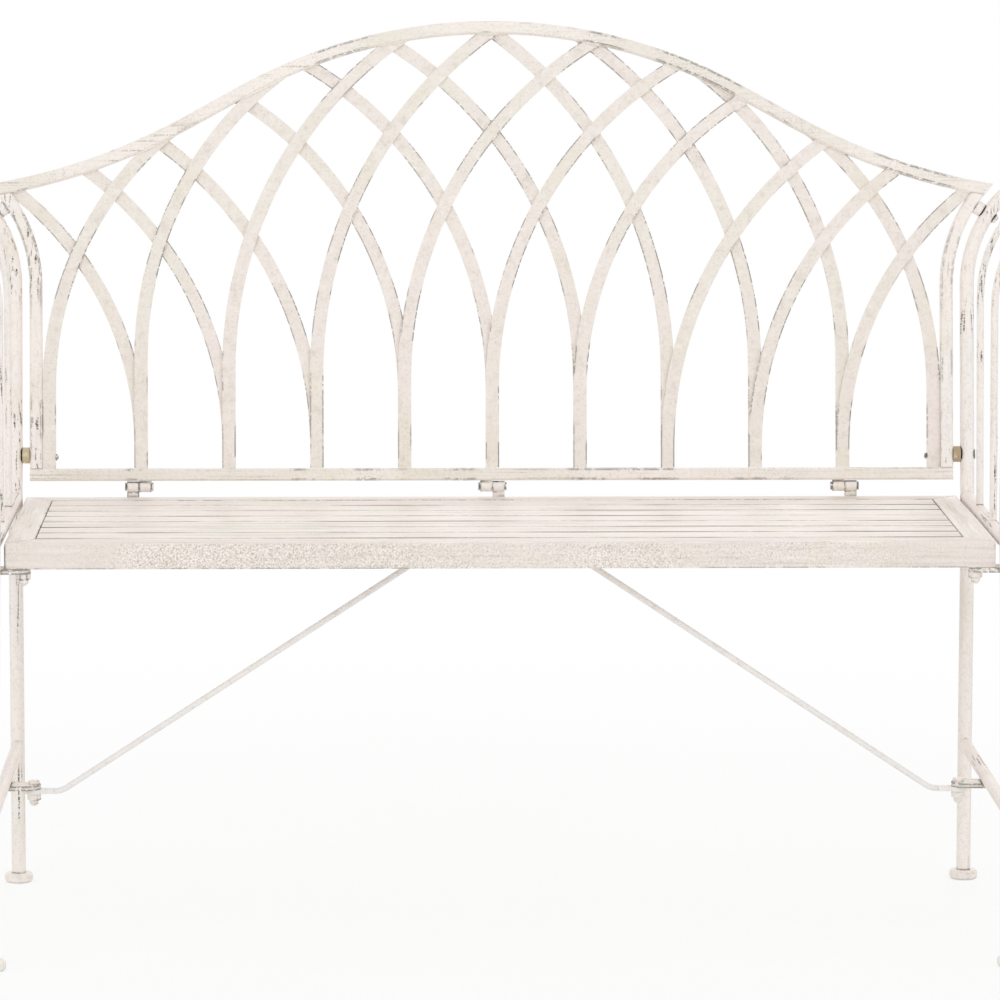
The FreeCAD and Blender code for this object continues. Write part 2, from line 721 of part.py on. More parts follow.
# Seat frame: four angle sections, mitred at the corners
def angle_rail(name, length):
    """Angle section along X from its own left corner, top flange to the back, mitred both ends."""
    body = doc.addObject("PartDesign::Body", name)
    section = body_sketch(body, name + "_section", "YZ_Plane")
    flange = dim("angle_flange")
    thick = dim("angle_thick")
    deep = dim("apron_height")
    outline = [
        (thick, -deep), (0, -deep), (0, -thick), (thick, 0), (flange, 0), (flange, -thick), (thick, -thick)]
    corners = [Vector(x, y, 0) for x, y in outline]
    for index, (first, last) in enumerate(zip(corners, corners[1:] + corners[:1])):
        if index == 2:
            circle = Part.Circle(Vector(thick, -thick, 0), Z_AXIS, thick)
            section.addGeometry(Part.ArcOfCircle(circle, math.pi / 2, math.pi))
        else:
            section.addGeometry(Part.LineSegment(first, last))
    joins = [(0, 2, 1, 1), (3, 2, 4, 1), (4, 2, 5, 1), (5, 2, 6, 1), (6, 2, 0, 1)]
    for join in joins:
        section.addConstraint(Sketcher.Constraint("Coincident", *join))
    section.addConstraint(Sketcher.Constraint("Tangent", 1, 2, 2, 2))
    section.addConstraint(Sketcher.Constraint("Tangent", 2, 1, 3, 1))
    for index in (0, 3, 5):
        section.addConstraint(Sketcher.Constraint("Horizontal", index))
    for index in (1, 4, 6):
        section.addConstraint(Sketcher.Constraint("Vertical", index))
    section.addConstraint(Sketcher.Constraint("PointOnObject", 1, 1, -2))
    section.addConstraint(Sketcher.Constraint("PointOnObject", 3, 2, -1))
    size_constraint(section, "deep", Sketcher.Constraint("DistanceY", 1, 1, -1, 1, deep), "Dims.apron_height")
    size_constraint(
        section, "flange", Sketcher.Constraint("DistanceX", -1, 1, 3, 2, flange), "Dims.angle_flange")
    size_constraint(section, "leg", Sketcher.Constraint("DistanceX", 0, 2, 0, 1, thick), "Dims.angle_thick")
    size_constraint(section, "top", Sketcher.Constraint("DistanceY", 4, 2, 4, 1, thick), "Dims.angle_thick")
    size_constraint(section, "corner", Sketcher.Constraint("Radius", 2, thick), "Dims.angle_thick")
    pad = body.newObject("PartDesign::Pad", name + "_pad")
    pad.Profile = section
    bind(pad, "Length", "Dims." + length)
    mitre = body_sketch(body, name + "_mitre", "XY_Plane")
    long = dim(length)
    wide = flange + 2
    left = [Vector(-1, -1, 0), Vector(wide, wide, 0), Vector(-1, wide, 0)]
    right = [Vector(long + 1, -1, 0), Vector(long - wide, wide, 0), Vector(long + 1, wide, 0)]
    formulas = {"-1": "-1", "wide": "Dims.angle_flange + 2", "past": "Dims.%s + 1" % length,
                "back": "Dims.%s - Dims.angle_flange - 2" % length}
    keys = [
        [("-1", "-1"), ("wide", "wide"), ("-1", "wide")],
        [("past", "-1"), ("back", "wide"), ("past", "wide")]]
    for side, points in enumerate((left, right)):
        base = 3 * side
        for first, last in zip(points, points[1:] + points[:1]):
            mitre.addGeometry(Part.LineSegment(first, last))
        for index in range(3):
            mitre.addConstraint(Sketcher.Constraint("Coincident", base + index, 2, base + (index + 1) % 3, 1))
        for index, point in enumerate(points):
            across, along = keys[side][index]
            tag = "%d%d" % (side, index)
            size_constraint(
                mitre, "x" + tag, Sketcher.Constraint("DistanceX", -1, 1, base + index, 1, point.x),
                formulas[across])
            size_constraint(
                mitre, "y" + tag, Sketcher.Constraint("DistanceY", -1, 1, base + index, 1, point.y),
                formulas[along])
    pocket = body.newObject("PartDesign::Pocket", name + "_cut")
    pocket.Profile = mitre
    bind(pocket, "Length", "Dims.apron_height + 5")
    return body


half_wide = dim("seat_width") / 2
seat_rails = [
    ("seat_front_rail", "seat_width", Vector(-half_wide, SEAT_FRONT, SEAT_Z), 0),
    ("seat_right_rail", "seat_depth", Vector(half_wide, SEAT_FRONT, SEAT_Z), 90),
    ("seat_rear_rail", "seat_width", Vector(half_wide, POST_Y, SEAT_Z), 180),
    ("seat_left_rail", "seat_depth", Vector(-half_wide, POST_Y, SEAT_Z), 270),
]
for name, length, corner, turn in seat_rails:
    rail = angle_rail(name + "_body", length)
    rail.Placement = Placement(corner, Rotation(Z_AXIS, turn))
    node(rail, name)

# Seat slats between the end flanges
SLATS = 7
slat_room = "(Dims.seat_depth - 2 * Dims.angle_flange - %d * Dims.slat_gap)" % (SLATS + 1)
slat_wide = (dim("seat_depth") - 2 * dim("angle_flange") - (SLATS + 1) * dim("slat_gap")) / SLATS
slat_half = half_wide - dim("angle_flange") - dim("slat_gap") / 4
for index in range(SLATS):
    near = SEAT_FRONT + dim("angle_flange") + dim("slat_gap") + index * (slat_wide + dim("slat_gap"))
    size = ("Dims.seat_width - 2 * Dims.angle_flange - Dims.slat_gap / 2", slat_room + " / %d" % SLATS,
            "Dims.slat_thick")
    place = Placement(Vector(-slat_half, near, SEAT_Z - dim("slat_thick")), Rotation())
    node(box("slat_%d_bar" % (index + 1), size, place), "slat_%d" % (index + 1))

# Cross bars under the slats: a ledger at each end and one in the middle
bar_z = SEAT_Z - dim("slat_thick") - dim("cross_bar_thick")
bar_near = SEAT_FRONT + dim("angle_thick")
bar_length = "Dims.seat_depth - 2 * Dims.angle_thick"
ledger_x = half_wide - dim("angle_flange") - dim("cross_bar_wide") * 0.7
ledger = box(
    "right_ledger", ("Dims.cross_bar_wide", bar_length, "Dims.cross_bar_thick"),
    Placement(Vector(ledger_x, bar_near, bar_z), Rotation()))
centre_bar = box(
    "centre_bar", ("Dims.centre_bar_wide", bar_length, "Dims.cross_bar_thick"),
    Placement(Vector(-dim("centre_bar_wide") / 2, bar_near, bar_z), Rotation()))
node(group("cross_bars_group", [ledger, centre_bar, mirrored("left_ledger", ledger)]), "cross_bars")

# Corner lugs of the seat, with the clearance hole for the locating stud
tab_x = dim("tab_bolt")
tab_y = SEAT_FRONT + dim("tab_setback")
apron_z = SEAT_Z - dim("apron_height")
lug_size = "Dims.lug_size"
lug_x = half_wide - dim("angle_thick") - dim("lug_size")
lug_plate = box(
    "lug_plate", (lug_size, lug_size, "Dims.angle_thick"),
    Placement(Vector(lug_x - 4, SEAT_FRONT + dim("angle_thick"), apron_z), Rotation()))
bind(lug_plate, "Length", "Dims.lug_size + 4")
STUD_HOLE = "Dims.bolt_dia / 2 + Dims.stud_clearance"
lug_hole = cylinder("lug_hole", STUD_HOLE, "3 * Dims.angle_thick", Vector(tab_x, tab_y, apron_z - 2), Z_AXIS)
right_lug = cut("right_lug", lug_plate, [lug_hole])
node(group("corner_lugs_group", [right_lug, mirrored("left_lug", right_lug)]), "corner_lugs")


# Hinges between the seat and the back's bottom rail
hinge_v = dim("back_rise") - dim("hinge_drop")
hinge_axis = on_back(0, hinge_v)
hinge_places = [(-dim("hinge_spacing"), 1), (0.0, -1), (dim("hinge_spacing"), -1)]
half_gap = dim("knuckle_gap") / 2
knuckle = dim("knuckle_length")
BARREL = "Dims.barrel_dia / 2"
PIN_BORE = "Dims.hinge_pin_dia / 2 + Dims.hinge_clearance"


def knuckle_start(place, side):
    """Left end of the knuckle on one side of a hinge."""
    if side > 0:
        return place + half_gap
    return place - half_gap - knuckle


back_knuckles = []
seat_knuckles = []
pins = []
for index, (place, side) in enumerate(hinge_places):
    tag = "%d" % (index + 1)
    start = knuckle_start(place, side)
    barrel = cylinder("back_barrel_" + tag, BARREL, "Dims.knuckle_length", Vector(start, 0, hinge_v), X_AXIS)
    saddle = box(
        "back_saddle_" + tag, ("Dims.knuckle_length", "Dims.barrel_dia * 0.6", "Dims.hinge_drop"),
        Placement(Vector(start, -dim("barrel_dia") * 0.3, hinge_v), Rotation()))
    bore = cylinder(
        "back_bore_" + tag, PIN_BORE, "Dims.knuckle_length + 2", Vector(start - 1, 0, hinge_v), X_AXIS)
    piece = cut("back_knuckle_" + tag, fuse("back_ear_" + tag, [barrel, saddle]), [bore])
    piece.Placement = BACK
    back_knuckles.append(piece)
    start = knuckle_start(place, -side)
    middle = Vector(start, hinge_axis.y, hinge_axis.z)
    barrel = cylinder("seat_barrel_" + tag, BARREL, "Dims.knuckle_length", middle, X_AXIS)
    leaf_low = SEAT_Z - dim("leaf_length")
    leaf = box(
        "seat_leaf_" + tag,
        ("Dims.knuckle_length", "Dims.leaf_thick", "Dims.leaf_length + Dims.barrel_dia / 2"),
        Placement(Vector(start, POST_Y, leaf_low), Rotation()))
    bore = cylinder("seat_bore_" + tag, PIN_BORE, "Dims.knuckle_length + 2", middle - X_AXIS, X_AXIS)
    seat_knuckles.append(cut("seat_knuckle_" + tag, fuse("seat_ear_" + tag, [barrel, leaf]), [bore]))
    pin_left = Vector(place - half_gap - knuckle - 0.6, hinge_axis.y, hinge_axis.z)
    shank = cylinder(
        "pin_shank_" + tag, "Dims.hinge_pin_dia / 2", "2 * Dims.knuckle_length + Dims.knuckle_gap + 1.2",
        pin_left, X_AXIS)
    cap_left = cylinder(
        "pin_left_" + tag, "Dims.hinge_pin_dia * 0.75", "1.6", pin_left - X_AXIS * 1.6, X_AXIS)
    pin_right = Vector(place + half_gap + knuckle + 0.6, hinge_axis.y, hinge_axis.z)
    cap_right = cylinder("pin_right_" + tag, "Dims.hinge_pin_dia * 0.75", "1.6", pin_right, X_AXIS)
    pins.append(fuse("pin_" + tag, [shank, cap_left, cap_right]))
node(group("back_knuckles_group", back_knuckles), "back_knuckles")
node(group("seat_knuckles_group", seat_knuckles), "seat_knuckles")
node(group("hinge_pins_group", pins), "hinge_pins")

# Side frames: rear leg and post in one tube, upright then reclined then rolled outward
POST_OUT = "Dims.post_dia / 2"
foot_z = dim("foot_height")
rear_y = POST_Y - (SEAT_Z - dim("rear_bend_height")) * math.tan(RECLINE)
front_y = POST_Y - POST_REACH
front_foot_y = POST_Y - FOOT_REACH
back_up = BACK.Rotation.multVec(Z_AXIS)
rear_turn = Vector(HALF_SPAN, rear_y, dim("rear_bend_height"))
rear_roll = on_back(HALF_SPAN, ROLL_START)
rear_path = bent_path([Vector(HALF_SPAN, rear_y, foot_z), rear_turn, rear_roll], dim("bend_radius"))
rear_path.append(roll_arc(rear_roll, back_up))
front_bend = Vector(HALF_SPAN, front_y, dim("front_bend_height"))
front_roll = Vector(HALF_SPAN, front_y, ARM_Z - ROLL_R * math.sin(ROLL))
front_path = bent_path([Vector(HALF_SPAN, front_foot_y, 0), front_bend, front_roll], dim("bend_radius"))
front_path.append(roll_arc(front_roll, Z_AXIS))
front_way = (front_bend - Vector(HALF_SPAN, front_foot_y, 0)).normalize()


def front_leg_at(height):
    """Centre of the front leg at a height below its bend."""
    return Vector(HALF_SPAN, front_foot_y, 0) + front_way * (height / front_way.z)


rear_top_y = POST_Y + (ARM_Z - SEAT_Z) * math.tan(RECLINE)
ARM_LONG = "(Dims.seat_depth - Dims.front_post_setback + 2 * Dims.arm_overhang"
ARM_LONG += " + (Dims.arm_height - Dims.seat_height) * tan(Dims.recline))"
arm_near = Vector(ARM_X, front_y - dim("arm_overhang"), ARM_Z)
arm_cope = cylinder(
    "arm_cope", "Dims.arm_dia / 2 + Dims.weld_gap", ARM_LONG + " + 2 * Dims.arm_overhang",
    arm_near - Y_AXIS * dim("arm_overhang"), Y_AXIS)
low_hole = bolt_hole("post_hole_low", lower_start, lower_way, "0")
high_hole = bolt_hole("post_hole_high", upper_start, upper_way, "0")
for hole in (low_hole, high_hole):
    hole.Placement = BACK.multiply(hole.Placement)
rear_bar = rod("rear_bar", POST_OUT, rear_path)
pair("rear_leg", cut("rear_leg_cut", rear_bar, [arm_cope, low_hole, high_hole]))
floor_box = box(
    "front_foot_trim", ("Dims.foot_dia * 2", "Dims.foot_dia * 2", "Dims.foot_height + Dims.foot_dia"),
    Placement(
        Vector(HALF_SPAN - dim("foot_dia"), front_foot_y - dim("foot_dia"), -dim("foot_dia")), Rotation()))
front_bar = rod("front_bar", POST_OUT, front_path)
pair("front_leg", cut("front_leg_cut", front_bar, [arm_cope, floor_box]))

# Arm rails: round bars with bevelled ends
def rim(edge):
    """True for the round edges of an upright or level disc or bar."""
    return isinstance(edge.Curve, Part.Circle)


arm_bar = cylinder("arm_bar", "Dims.arm_dia / 2", ARM_LONG, arm_near, Y_AXIS)
pair("arm_rail", bevel("arm_rail_bar", arm_bar, rim, dim("arm_bevel")))


# Side rails and stretchers, coped on the legs at both ends
def leg_cope(name, centre, way):
    """Space a leg takes up where another piece is welded to it."""
    begin = centre - way * (2 * dim("tab_wide"))
    return cylinder(name, "Dims.post_dia / 2 + Dims.weld_gap", "4 * Dims.tab_wide", begin, way)


def level_bar(name, size, start, end, copes):
    """Level bar from one leg to the other."""
    way = (end - start).normalize()
    whole = cylinder(name + "_whole", "Dims.%s / 2" % size, "%.6f" % (end - start).Length, start, way)
    return cut(name, whole, copes)


rail_z = dim("side_rail_height")
rail_rear = Vector(HALF_SPAN, POST_Y + (rail_z - SEAT_Z) * math.tan(RECLINE), rail_z)
rail_front = front_leg_at(rail_z)
side_copes = [
    leg_cope("side_rail_cope_rear", rail_rear, back_up),
    leg_cope("side_rail_cope_front", rail_front, front_way)]
pair("side_rail", level_bar("side_rail_bar", "side_rail_dia", rail_rear, rail_front, side_copes))
stretch_z = dim("stretcher_height")
stretch_rear = Vector(HALF_SPAN, rear_y, stretch_z)
stretch_front = front_leg_at(stretch_z)
stretch_copes = [
    leg_cope("stretcher_cope_rear", stretch_rear, Z_AXIS),
    leg_cope("stretcher_cope_front", stretch_front, front_way)]
pair("stretcher", level_bar("stretcher_bar", "stretcher_dia", stretch_rear, stretch_front, stretch_copes))

# Arm bars: two thin rods a side, at thirds between the posts
BARS = 2
side_cope = cylinder(
    "bar_cope", "Dims.side_rail_dia / 2 + Dims.weld_gap", "Dims.seat_depth + 2 * Dims.side_rail_dia",
    rail_front - Y_AXIS * dim("side_rail_dia"), Y_AXIS)
arm_bars = []
for index in range(1, BARS + 1):
    share = index / (BARS + 1)
    foot_y = rail_rear.y + (rail_front.y - rail_rear.y) * share
    head_y = rear_top_y + (front_y - rear_top_y) * share
    foot_point = Vector(HALF_SPAN, foot_y, rail_z)
    head_point = Vector(HALF_SPAN, head_y, ARM_Z)
    up = (head_point - foot_point).normalize()
    roll_point = head_point - up * (ROLL_R * math.sin(ROLL))
    run = [Part.LineSegment(foot_point, roll_point).toShape(), roll_arc(roll_point, up)]
    whole_bar = rod("bar_rod_%d" % index, "Dims.bar_dia / 2", run)
    bar = cut("right_bar_%d" % index, whole_bar, [arm_cope, side_cope])
    arm_bars.append(bar)
    arm_bars.append(mirrored("left_bar_%d" % index, bar))
node(group("arm_bars_group", arm_bars), "arm_bars")

# Feet: bevelled discs under the four legs
feet = []
for name, place_y in (("rear_foot", rear_y), ("front_foot", front_foot_y)):
    disc = cylinder(
        name + "_disc", "Dims.foot_dia / 2", "Dims.foot_height", Vector(HALF_SPAN, place_y, 0), Z_AXIS)
    rounded = bevel(name, disc, rim, dim("foot_bevel"))
    feet.append(rounded)
    feet.append(mirrored(name + "_left", rounded))
node(group("feet_group", feet), "feet")


# Tabs: plates on the side frames that the seat and the stays are bolted to
def tab(name, centre_y, low_z, hole, cope):
    """Plate with a rounded inner end, coped where it is welded."""
    half = dim("tab_wide") / 2
    nose_x = dim("tab_tip") + half
    plate = box(
        name + "_plate",
        ("Dims.post_span / 2 - Dims.tab_tip - Dims.tab_wide / 2", "Dims.tab_wide", "Dims.tab_thick"),
        Placement(Vector(nose_x, centre_y - half, low_z), Rotation()))
    nose = cylinder(
        name + "_nose", "Dims.tab_wide / 2", "Dims.tab_thick", Vector(nose_x, centre_y, low_z), Z_AXIS)
    drill = cylinder(
        name + "_drill", hole, "Dims.tab_thick + 2", Vector(tab_x, centre_y, low_z - 1), Z_AXIS)
    return cut(name, fuse(name + "_whole", [plate, nose]), [drill, cope])


seat_tab_z = apron_z - dim("seat_bearing") - dim("tab_thick")
seat_tab_cope = leg_cope("seat_tab_cope", front_leg_at(seat_tab_z), front_way)
seat_tab = tab("seat_tab", tab_y, seat_tab_z, HOLE, seat_tab_cope)
stay_y = (stretch_rear.y + stretch_front.y) / 2
stay_tab_z = stretch_z - dim("tab_thick") - dim("stay_tab_drop")
stretch_cope = cylinder(
    "stay_tab_cope", "Dims.stretcher_dia / 2 + Dims.weld_gap", "4 * Dims.tab_wide",
    Vector(HALF_SPAN, stay_y - 2 * dim("tab_wide"), stretch_z), Y_AXIS)
stay_tab = tab("stay_tab", stay_y, stay_tab_z, HOLE, stretch_cope)
tabs = [seat_tab, stay_tab, mirrored("seat_tab_left", seat_tab), mirrored("stay_tab_left", stay_tab)]
node(group("tabs_group", tabs), "tabs")

# Stays: bent rods with flattened eyes, from the stretchers to the middle of the seat
eye = dim("stay_eye_thick")
stay_low_z = stay_tab_z - eye / 2
bar_under = bar_z - dim("seat_bearing")
head_z = bar_under - dim("bolt_head_height")


def stay(name, side, high_z):
    """One stay; its upper eye is centred at a height of its own, as the eyes are stacked."""
    neck = dim("stay_eye_dia") / 2 + 8
    low_x = side * (tab_x - neck - 2)
    high_x = side * neck
    run = bent_path(
        [Vector(low_x, stay_y, stay_low_z), Vector(side * dim("stay_foot_bend"), stay_y, stay_low_z),
         Vector(side * dim("stay_head_bend"), stay_y, high_z), Vector(high_x, stay_y, high_z)],
        dim("stay_bend_radius"))
    pieces = [rod(name + "_rod", "Dims.stay_dia / 2", run)]
    drills = []
    ends = [("low", side * tab_x, stay_low_z, -side), ("high", 0.0, high_z, side)]
    for end, eye_x, eye_z, inward in ends:
        under_eye = eye_z - eye / 2
        pieces.append(cylinder(
            "%s_%s_eye" % (name, end), "Dims.stay_eye_dia / 2", "Dims.stay_eye_thick",
            Vector(eye_x, stay_y, under_eye), Z_AXIS))
        flat_wide = dim("stay_dia") * 1.7
        reach = neck + 4
        flat_x = eye_x if inward > 0 else eye_x - reach
        pieces.append(box(
            "%s_%s_flat" % (name, end),
            ("Dims.stay_eye_dia / 2 + 12", "Dims.stay_dia * 1.7", "Dims.stay_eye_thick"),
            Placement(Vector(flat_x, stay_y - flat_wide / 2, under_eye), Rotation())))
        drills.append(cylinder(
            "%s_%s_drill" % (name, end), HOLE, "Dims.stay_eye_thick + 2",
            Vector(eye_x, stay_y, under_eye - 1), Z_AXIS))
    return cut(name, fuse(name + "_whole", pieces), drills)


left_high = head_z - eye * 1.5
right_high = head_z - eye / 2
node(stay("left_stay_rod", -1, left_high), "left_stay")
node(stay("right_stay_rod", 1, right_high), "right_stay")


# Bolts, studs and cap nuts
def upright_bolt(name, x, y, top_z, reach, head):
    """Bolt with its shank downward from a head, or a plain stud."""
    shank_at = Vector(x, y, top_z - reach[1])
    pieces = [cylinder(name + "_shank", "Dims.bolt_dia / 2", reach[0], shank_at, Z_AXIS)]
    if head:
        prism = doc.addObject("Part::Prism", name + "_head")
        prism.Polygon = 6
        bind(prism, "Circumradius", "Dims.bolt_head_dia / 2")
        bind(prism, "Height", "Dims.bolt_head_height")
        prism.Placement = Placement(Vector(x, y, top_z), Rotation())
        pieces.append(prism)
    return fuse(name, pieces) if head else pieces[0]


def cap_nut(name, x, y, top_z):
    """Cap nut with its dome down."""
    low = top_z - dim("nut_height")
    prism = doc.addObject("Part::Prism", name + "_hex")
    prism.Polygon = 6
    bind(prism, "Circumradius", "Dims.nut_across / 2 / cos(30)")
    bind(prism, "Height", "Dims.nut_height")
    prism.Placement = Placement(Vector(x, y, low), Rotation())
    dome = doc.addObject("Part::Cone", name + "_dome")
    bind(dome, "Radius1", "Dims.nut_dome * 0.45")
    bind(dome, "Radius2", "Dims.nut_dome * 0.9")
    bind(dome, "Height", "Dims.nut_dome_height * 0.4")
    dome.Placement = Placement(Vector(x, y, low - dim("nut_dome_height")), Rotation())
    collar = doc.addObject("Part::Cone", name + "_collar")
    bind(collar, "Radius1", "Dims.nut_dome * 0.9")
    bind(collar, "Radius2", "Dims.nut_dome")
    bind(collar, "Height", "Dims.nut_dome_height * 0.6")
    collar.Placement = Placement(Vector(x, y, low - dim("nut_dome_height") * 0.6), Rotation())
    thread = cylinder(
        name + "_thread", "Dims.bolt_dia / 2 + Dims.bolt_clearance / 4", "Dims.nut_height + 2",
        Vector(x, y, low), Z_AXIS)
    return cut(name, fuse(name + "_whole", [prism, collar, dome]), [thread])


stud_reach = "Dims.stud_stand + Dims.seat_bearing + Dims.tab_thick + Dims.nut_height - 0.5"
stud_long = dim("stud_stand") + dim("seat_bearing") + dim("tab_thick") + dim("nut_height") - 0.5
seat_stud = upright_bolt(
    "seat_stud", tab_x, tab_y, apron_z + dim("stud_stand"), (stud_reach, stud_long), False)
stay_reach = "Dims.tab_thick + Dims.stay_eye_thick + Dims.nut_height - 0.5"
stay_long = dim("tab_thick") + eye + dim("nut_height") - 0.5
stay_bolt = upright_bolt(
    "stay_bolt", tab_x, stay_y, stay_tab_z + dim("tab_thick"), (stay_reach, stay_long), True)
centre_reach = "2 * Dims.stay_eye_thick + Dims.nut_height - 0.5"
centre_long = 2 * eye + dim("nut_height") - 0.5
centre_bolt = upright_bolt("centre_bolt", 0.0, stay_y, head_z, (centre_reach, centre_long), True)


def back_bolt(name, start, way, reach):
    """Bolt from the outside of the post, through the spacer, as far past the stile's face as its reach."""
    seat_at = start - way * (dim("post_dia") / 2)
    shank = cylinder(
        name + "_shank", "Dims.bolt_dia / 2",
        "Dims.post_dia / 2 + (Dims.post_span - Dims.back_width) / 2 + " + reach, seat_at, way)
    dome = doc.addObject("Part::Cone", name + "_head")
    bind(dome, "Radius1", "Dims.bolt_head_dia / 2 - 2")
    bind(dome, "Radius2", "Dims.bolt_head_dia / 2")
    bind(dome, "Height", "Dims.bolt_head_height")
    dome.Placement = Placement(seat_at - way * dim("bolt_head_height"), Rotation(Z_AXIS, way))
    whole = fuse(name, [shank, dome])
    whole.Placement = BACK
    return whole


bolts = [seat_stud, stay_bolt, centre_bolt]
bolts.append(back_bolt("lower_bolt", lower_start, lower_way, "Dims.back_tube / 2"))
bolts.append(back_bolt("upper_bolt", upper_start, upper_way, "Dims.back_tube / 2"))
for source in (seat_stud, stay_bolt, bolts[3], bolts[4]):
    bolts.append(mirrored(source.Name + "_left", source))
node(group("bolts_group", bolts), "bolts")
seat_nut = cap_nut("seat_nut", tab_x, tab_y, seat_tab_z)
stay_nut = cap_nut("stay_nut", tab_x, stay_y, stay_tab_z - eye)
centre_nut = cap_nut("centre_nut", 0.0, stay_y, head_z - 2 * eye)
nuts = [
    seat_nut, stay_nut, centre_nut,
    mirrored("seat_nut_left", seat_nut), mirrored("stay_nut_left", stay_nut)]
node(group("cap_nuts_group", nuts), "cap_nuts")

# Spacers between the stiles and the posts
SPACE = "(Dims.post_span - Dims.back_width - Dims.post_dia) / 2"


def spacer(name, size, start, way):
    """Ring on a bolt line, from the post's surface to the stile's outer face."""
    begin = start + way * (dim("post_dia") / 2 + SEAM)
    ring = cylinder(name + "_ring", "Dims.%s / 2" % size, SPACE + " - 3 * Dims.weld_gap", begin, way)
    drill = cylinder(name + "_drill", HOLE, SPACE + " + 4", begin - way * 2, way)
    piece = cut(name, ring, [drill])
    piece.Placement = BACK
    return group(name + "s_group", [piece, mirrored(name + "_left", piece)])


node(spacer("lower_spacer", "lower_spacer_dia", lower_start, lower_way), "lower_spacers")
node(spacer("upper_spacer", "upper_spacer_dia", upper_start, upper_way), "upper_spacers")

# Check every object, then write one file for each node
doc.recompute()
faults = []
for thing in doc.Objects:
    if "Invalid" in thing.State or "Error" in thing.State:
        faults.append("%s: %s" % (thing.Name, thing.State))
for thing in nodes:
    shape = thing.Shape
    if shape.isNull() or not shape.isValid():
        faults.append("%s: bad shape" % thing.Label)
if faults:
    raise RuntimeError("; ".join(faults))
os.makedirs("parts", exist_ok=True)
for thing in nodes:
    thing.Shape.exportStep("parts/%s.step" % thing.Label)
    print("%-16s solids %d volume %.1f" % (thing.Label, len(thing.Shape.Solids), thing.Shape.Volume / 1000))
print("%d nodes" % len(nodes))
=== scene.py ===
import math

import bmesh
import bpy
from mathutils import Matrix, Vector
from mathutils.bvhtree import BVHTree


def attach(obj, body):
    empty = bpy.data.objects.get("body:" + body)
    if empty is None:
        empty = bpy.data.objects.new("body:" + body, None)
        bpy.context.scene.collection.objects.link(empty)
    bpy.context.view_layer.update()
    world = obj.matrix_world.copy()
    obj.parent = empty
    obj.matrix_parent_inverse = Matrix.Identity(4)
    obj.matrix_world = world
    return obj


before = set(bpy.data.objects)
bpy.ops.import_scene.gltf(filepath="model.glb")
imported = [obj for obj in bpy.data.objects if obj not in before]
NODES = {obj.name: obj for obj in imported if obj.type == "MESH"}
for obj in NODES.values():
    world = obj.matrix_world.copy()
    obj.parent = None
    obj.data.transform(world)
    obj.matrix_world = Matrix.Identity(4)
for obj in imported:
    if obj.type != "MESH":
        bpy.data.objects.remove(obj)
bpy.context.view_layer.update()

# Where the photograph was taken from
IMAGE_WIDE = 1000
FOCAL_PIXELS = 5500
SENSOR_MM = 36.0
CAMERA_REACH = 100.0
CAMERA_AT = Vector((-0.1466, -5.9601, 1.2239))
YAW = math.radians(1.44)
PITCH = math.radians(7.276)
ROLL = math.radians(0.078)


def linear(channel):
    """One sRGB channel from 0 to 255 as a linear value."""
    share = channel / 255
    if share <= 0.04045:
        return share / 12.92
    return ((share + 0.055) / 1.055) ** 2.4


def colour(red, green, blue):
    """sRGB colour as Blender's linear one."""
    return (linear(red), linear(green), linear(blue), 1.0)


# Colours of the finish
CREAM = colour(238, 232, 224)
ROSE = colour(244, 233, 228)
STRAW = colour(235, 228, 212)
STRIP_CREAM = colour(239, 233, 225)
STRIP_ROSE = colour(241, 233, 228)
POST_CREAM = colour(248, 241, 235)
POST_GREY = colour(245, 240, 236)
APRON_CREAM = colour(233, 224, 216)
APRON_ROSE = colour(235, 226, 221)
STAY_WHITE = colour(239, 237, 236)
SHADE = colour(203, 193, 182)
CHALK = colour(250, 246, 240)
# Dark brown of bare metal, also used for the painted shade in joints
BARE_AND_SHADE = colour(44, 35, 26)
RUST = colour(122, 102, 84)
GAP_BROWN = colour(134, 118, 104)
SPACER_TAN = colour(205, 188, 156)
SPACER_SHADE = colour(176, 156, 122)

# Smoothness of the pebbled cells
CELL_SMOOTHNESS = 0.6

# Samples and limits that tell level faces, worn edges and hidden corners
SURFACE_SAMPLES = 4
UPRIGHT_BELOW = 0.35
LEVEL_ABOVE = 0.7
FLAT_ABOVE = 0.985
EDGE_BELOW = 0.93
OPEN_ABOVE = 0.6
HIDDEN_BELOW = 0.25


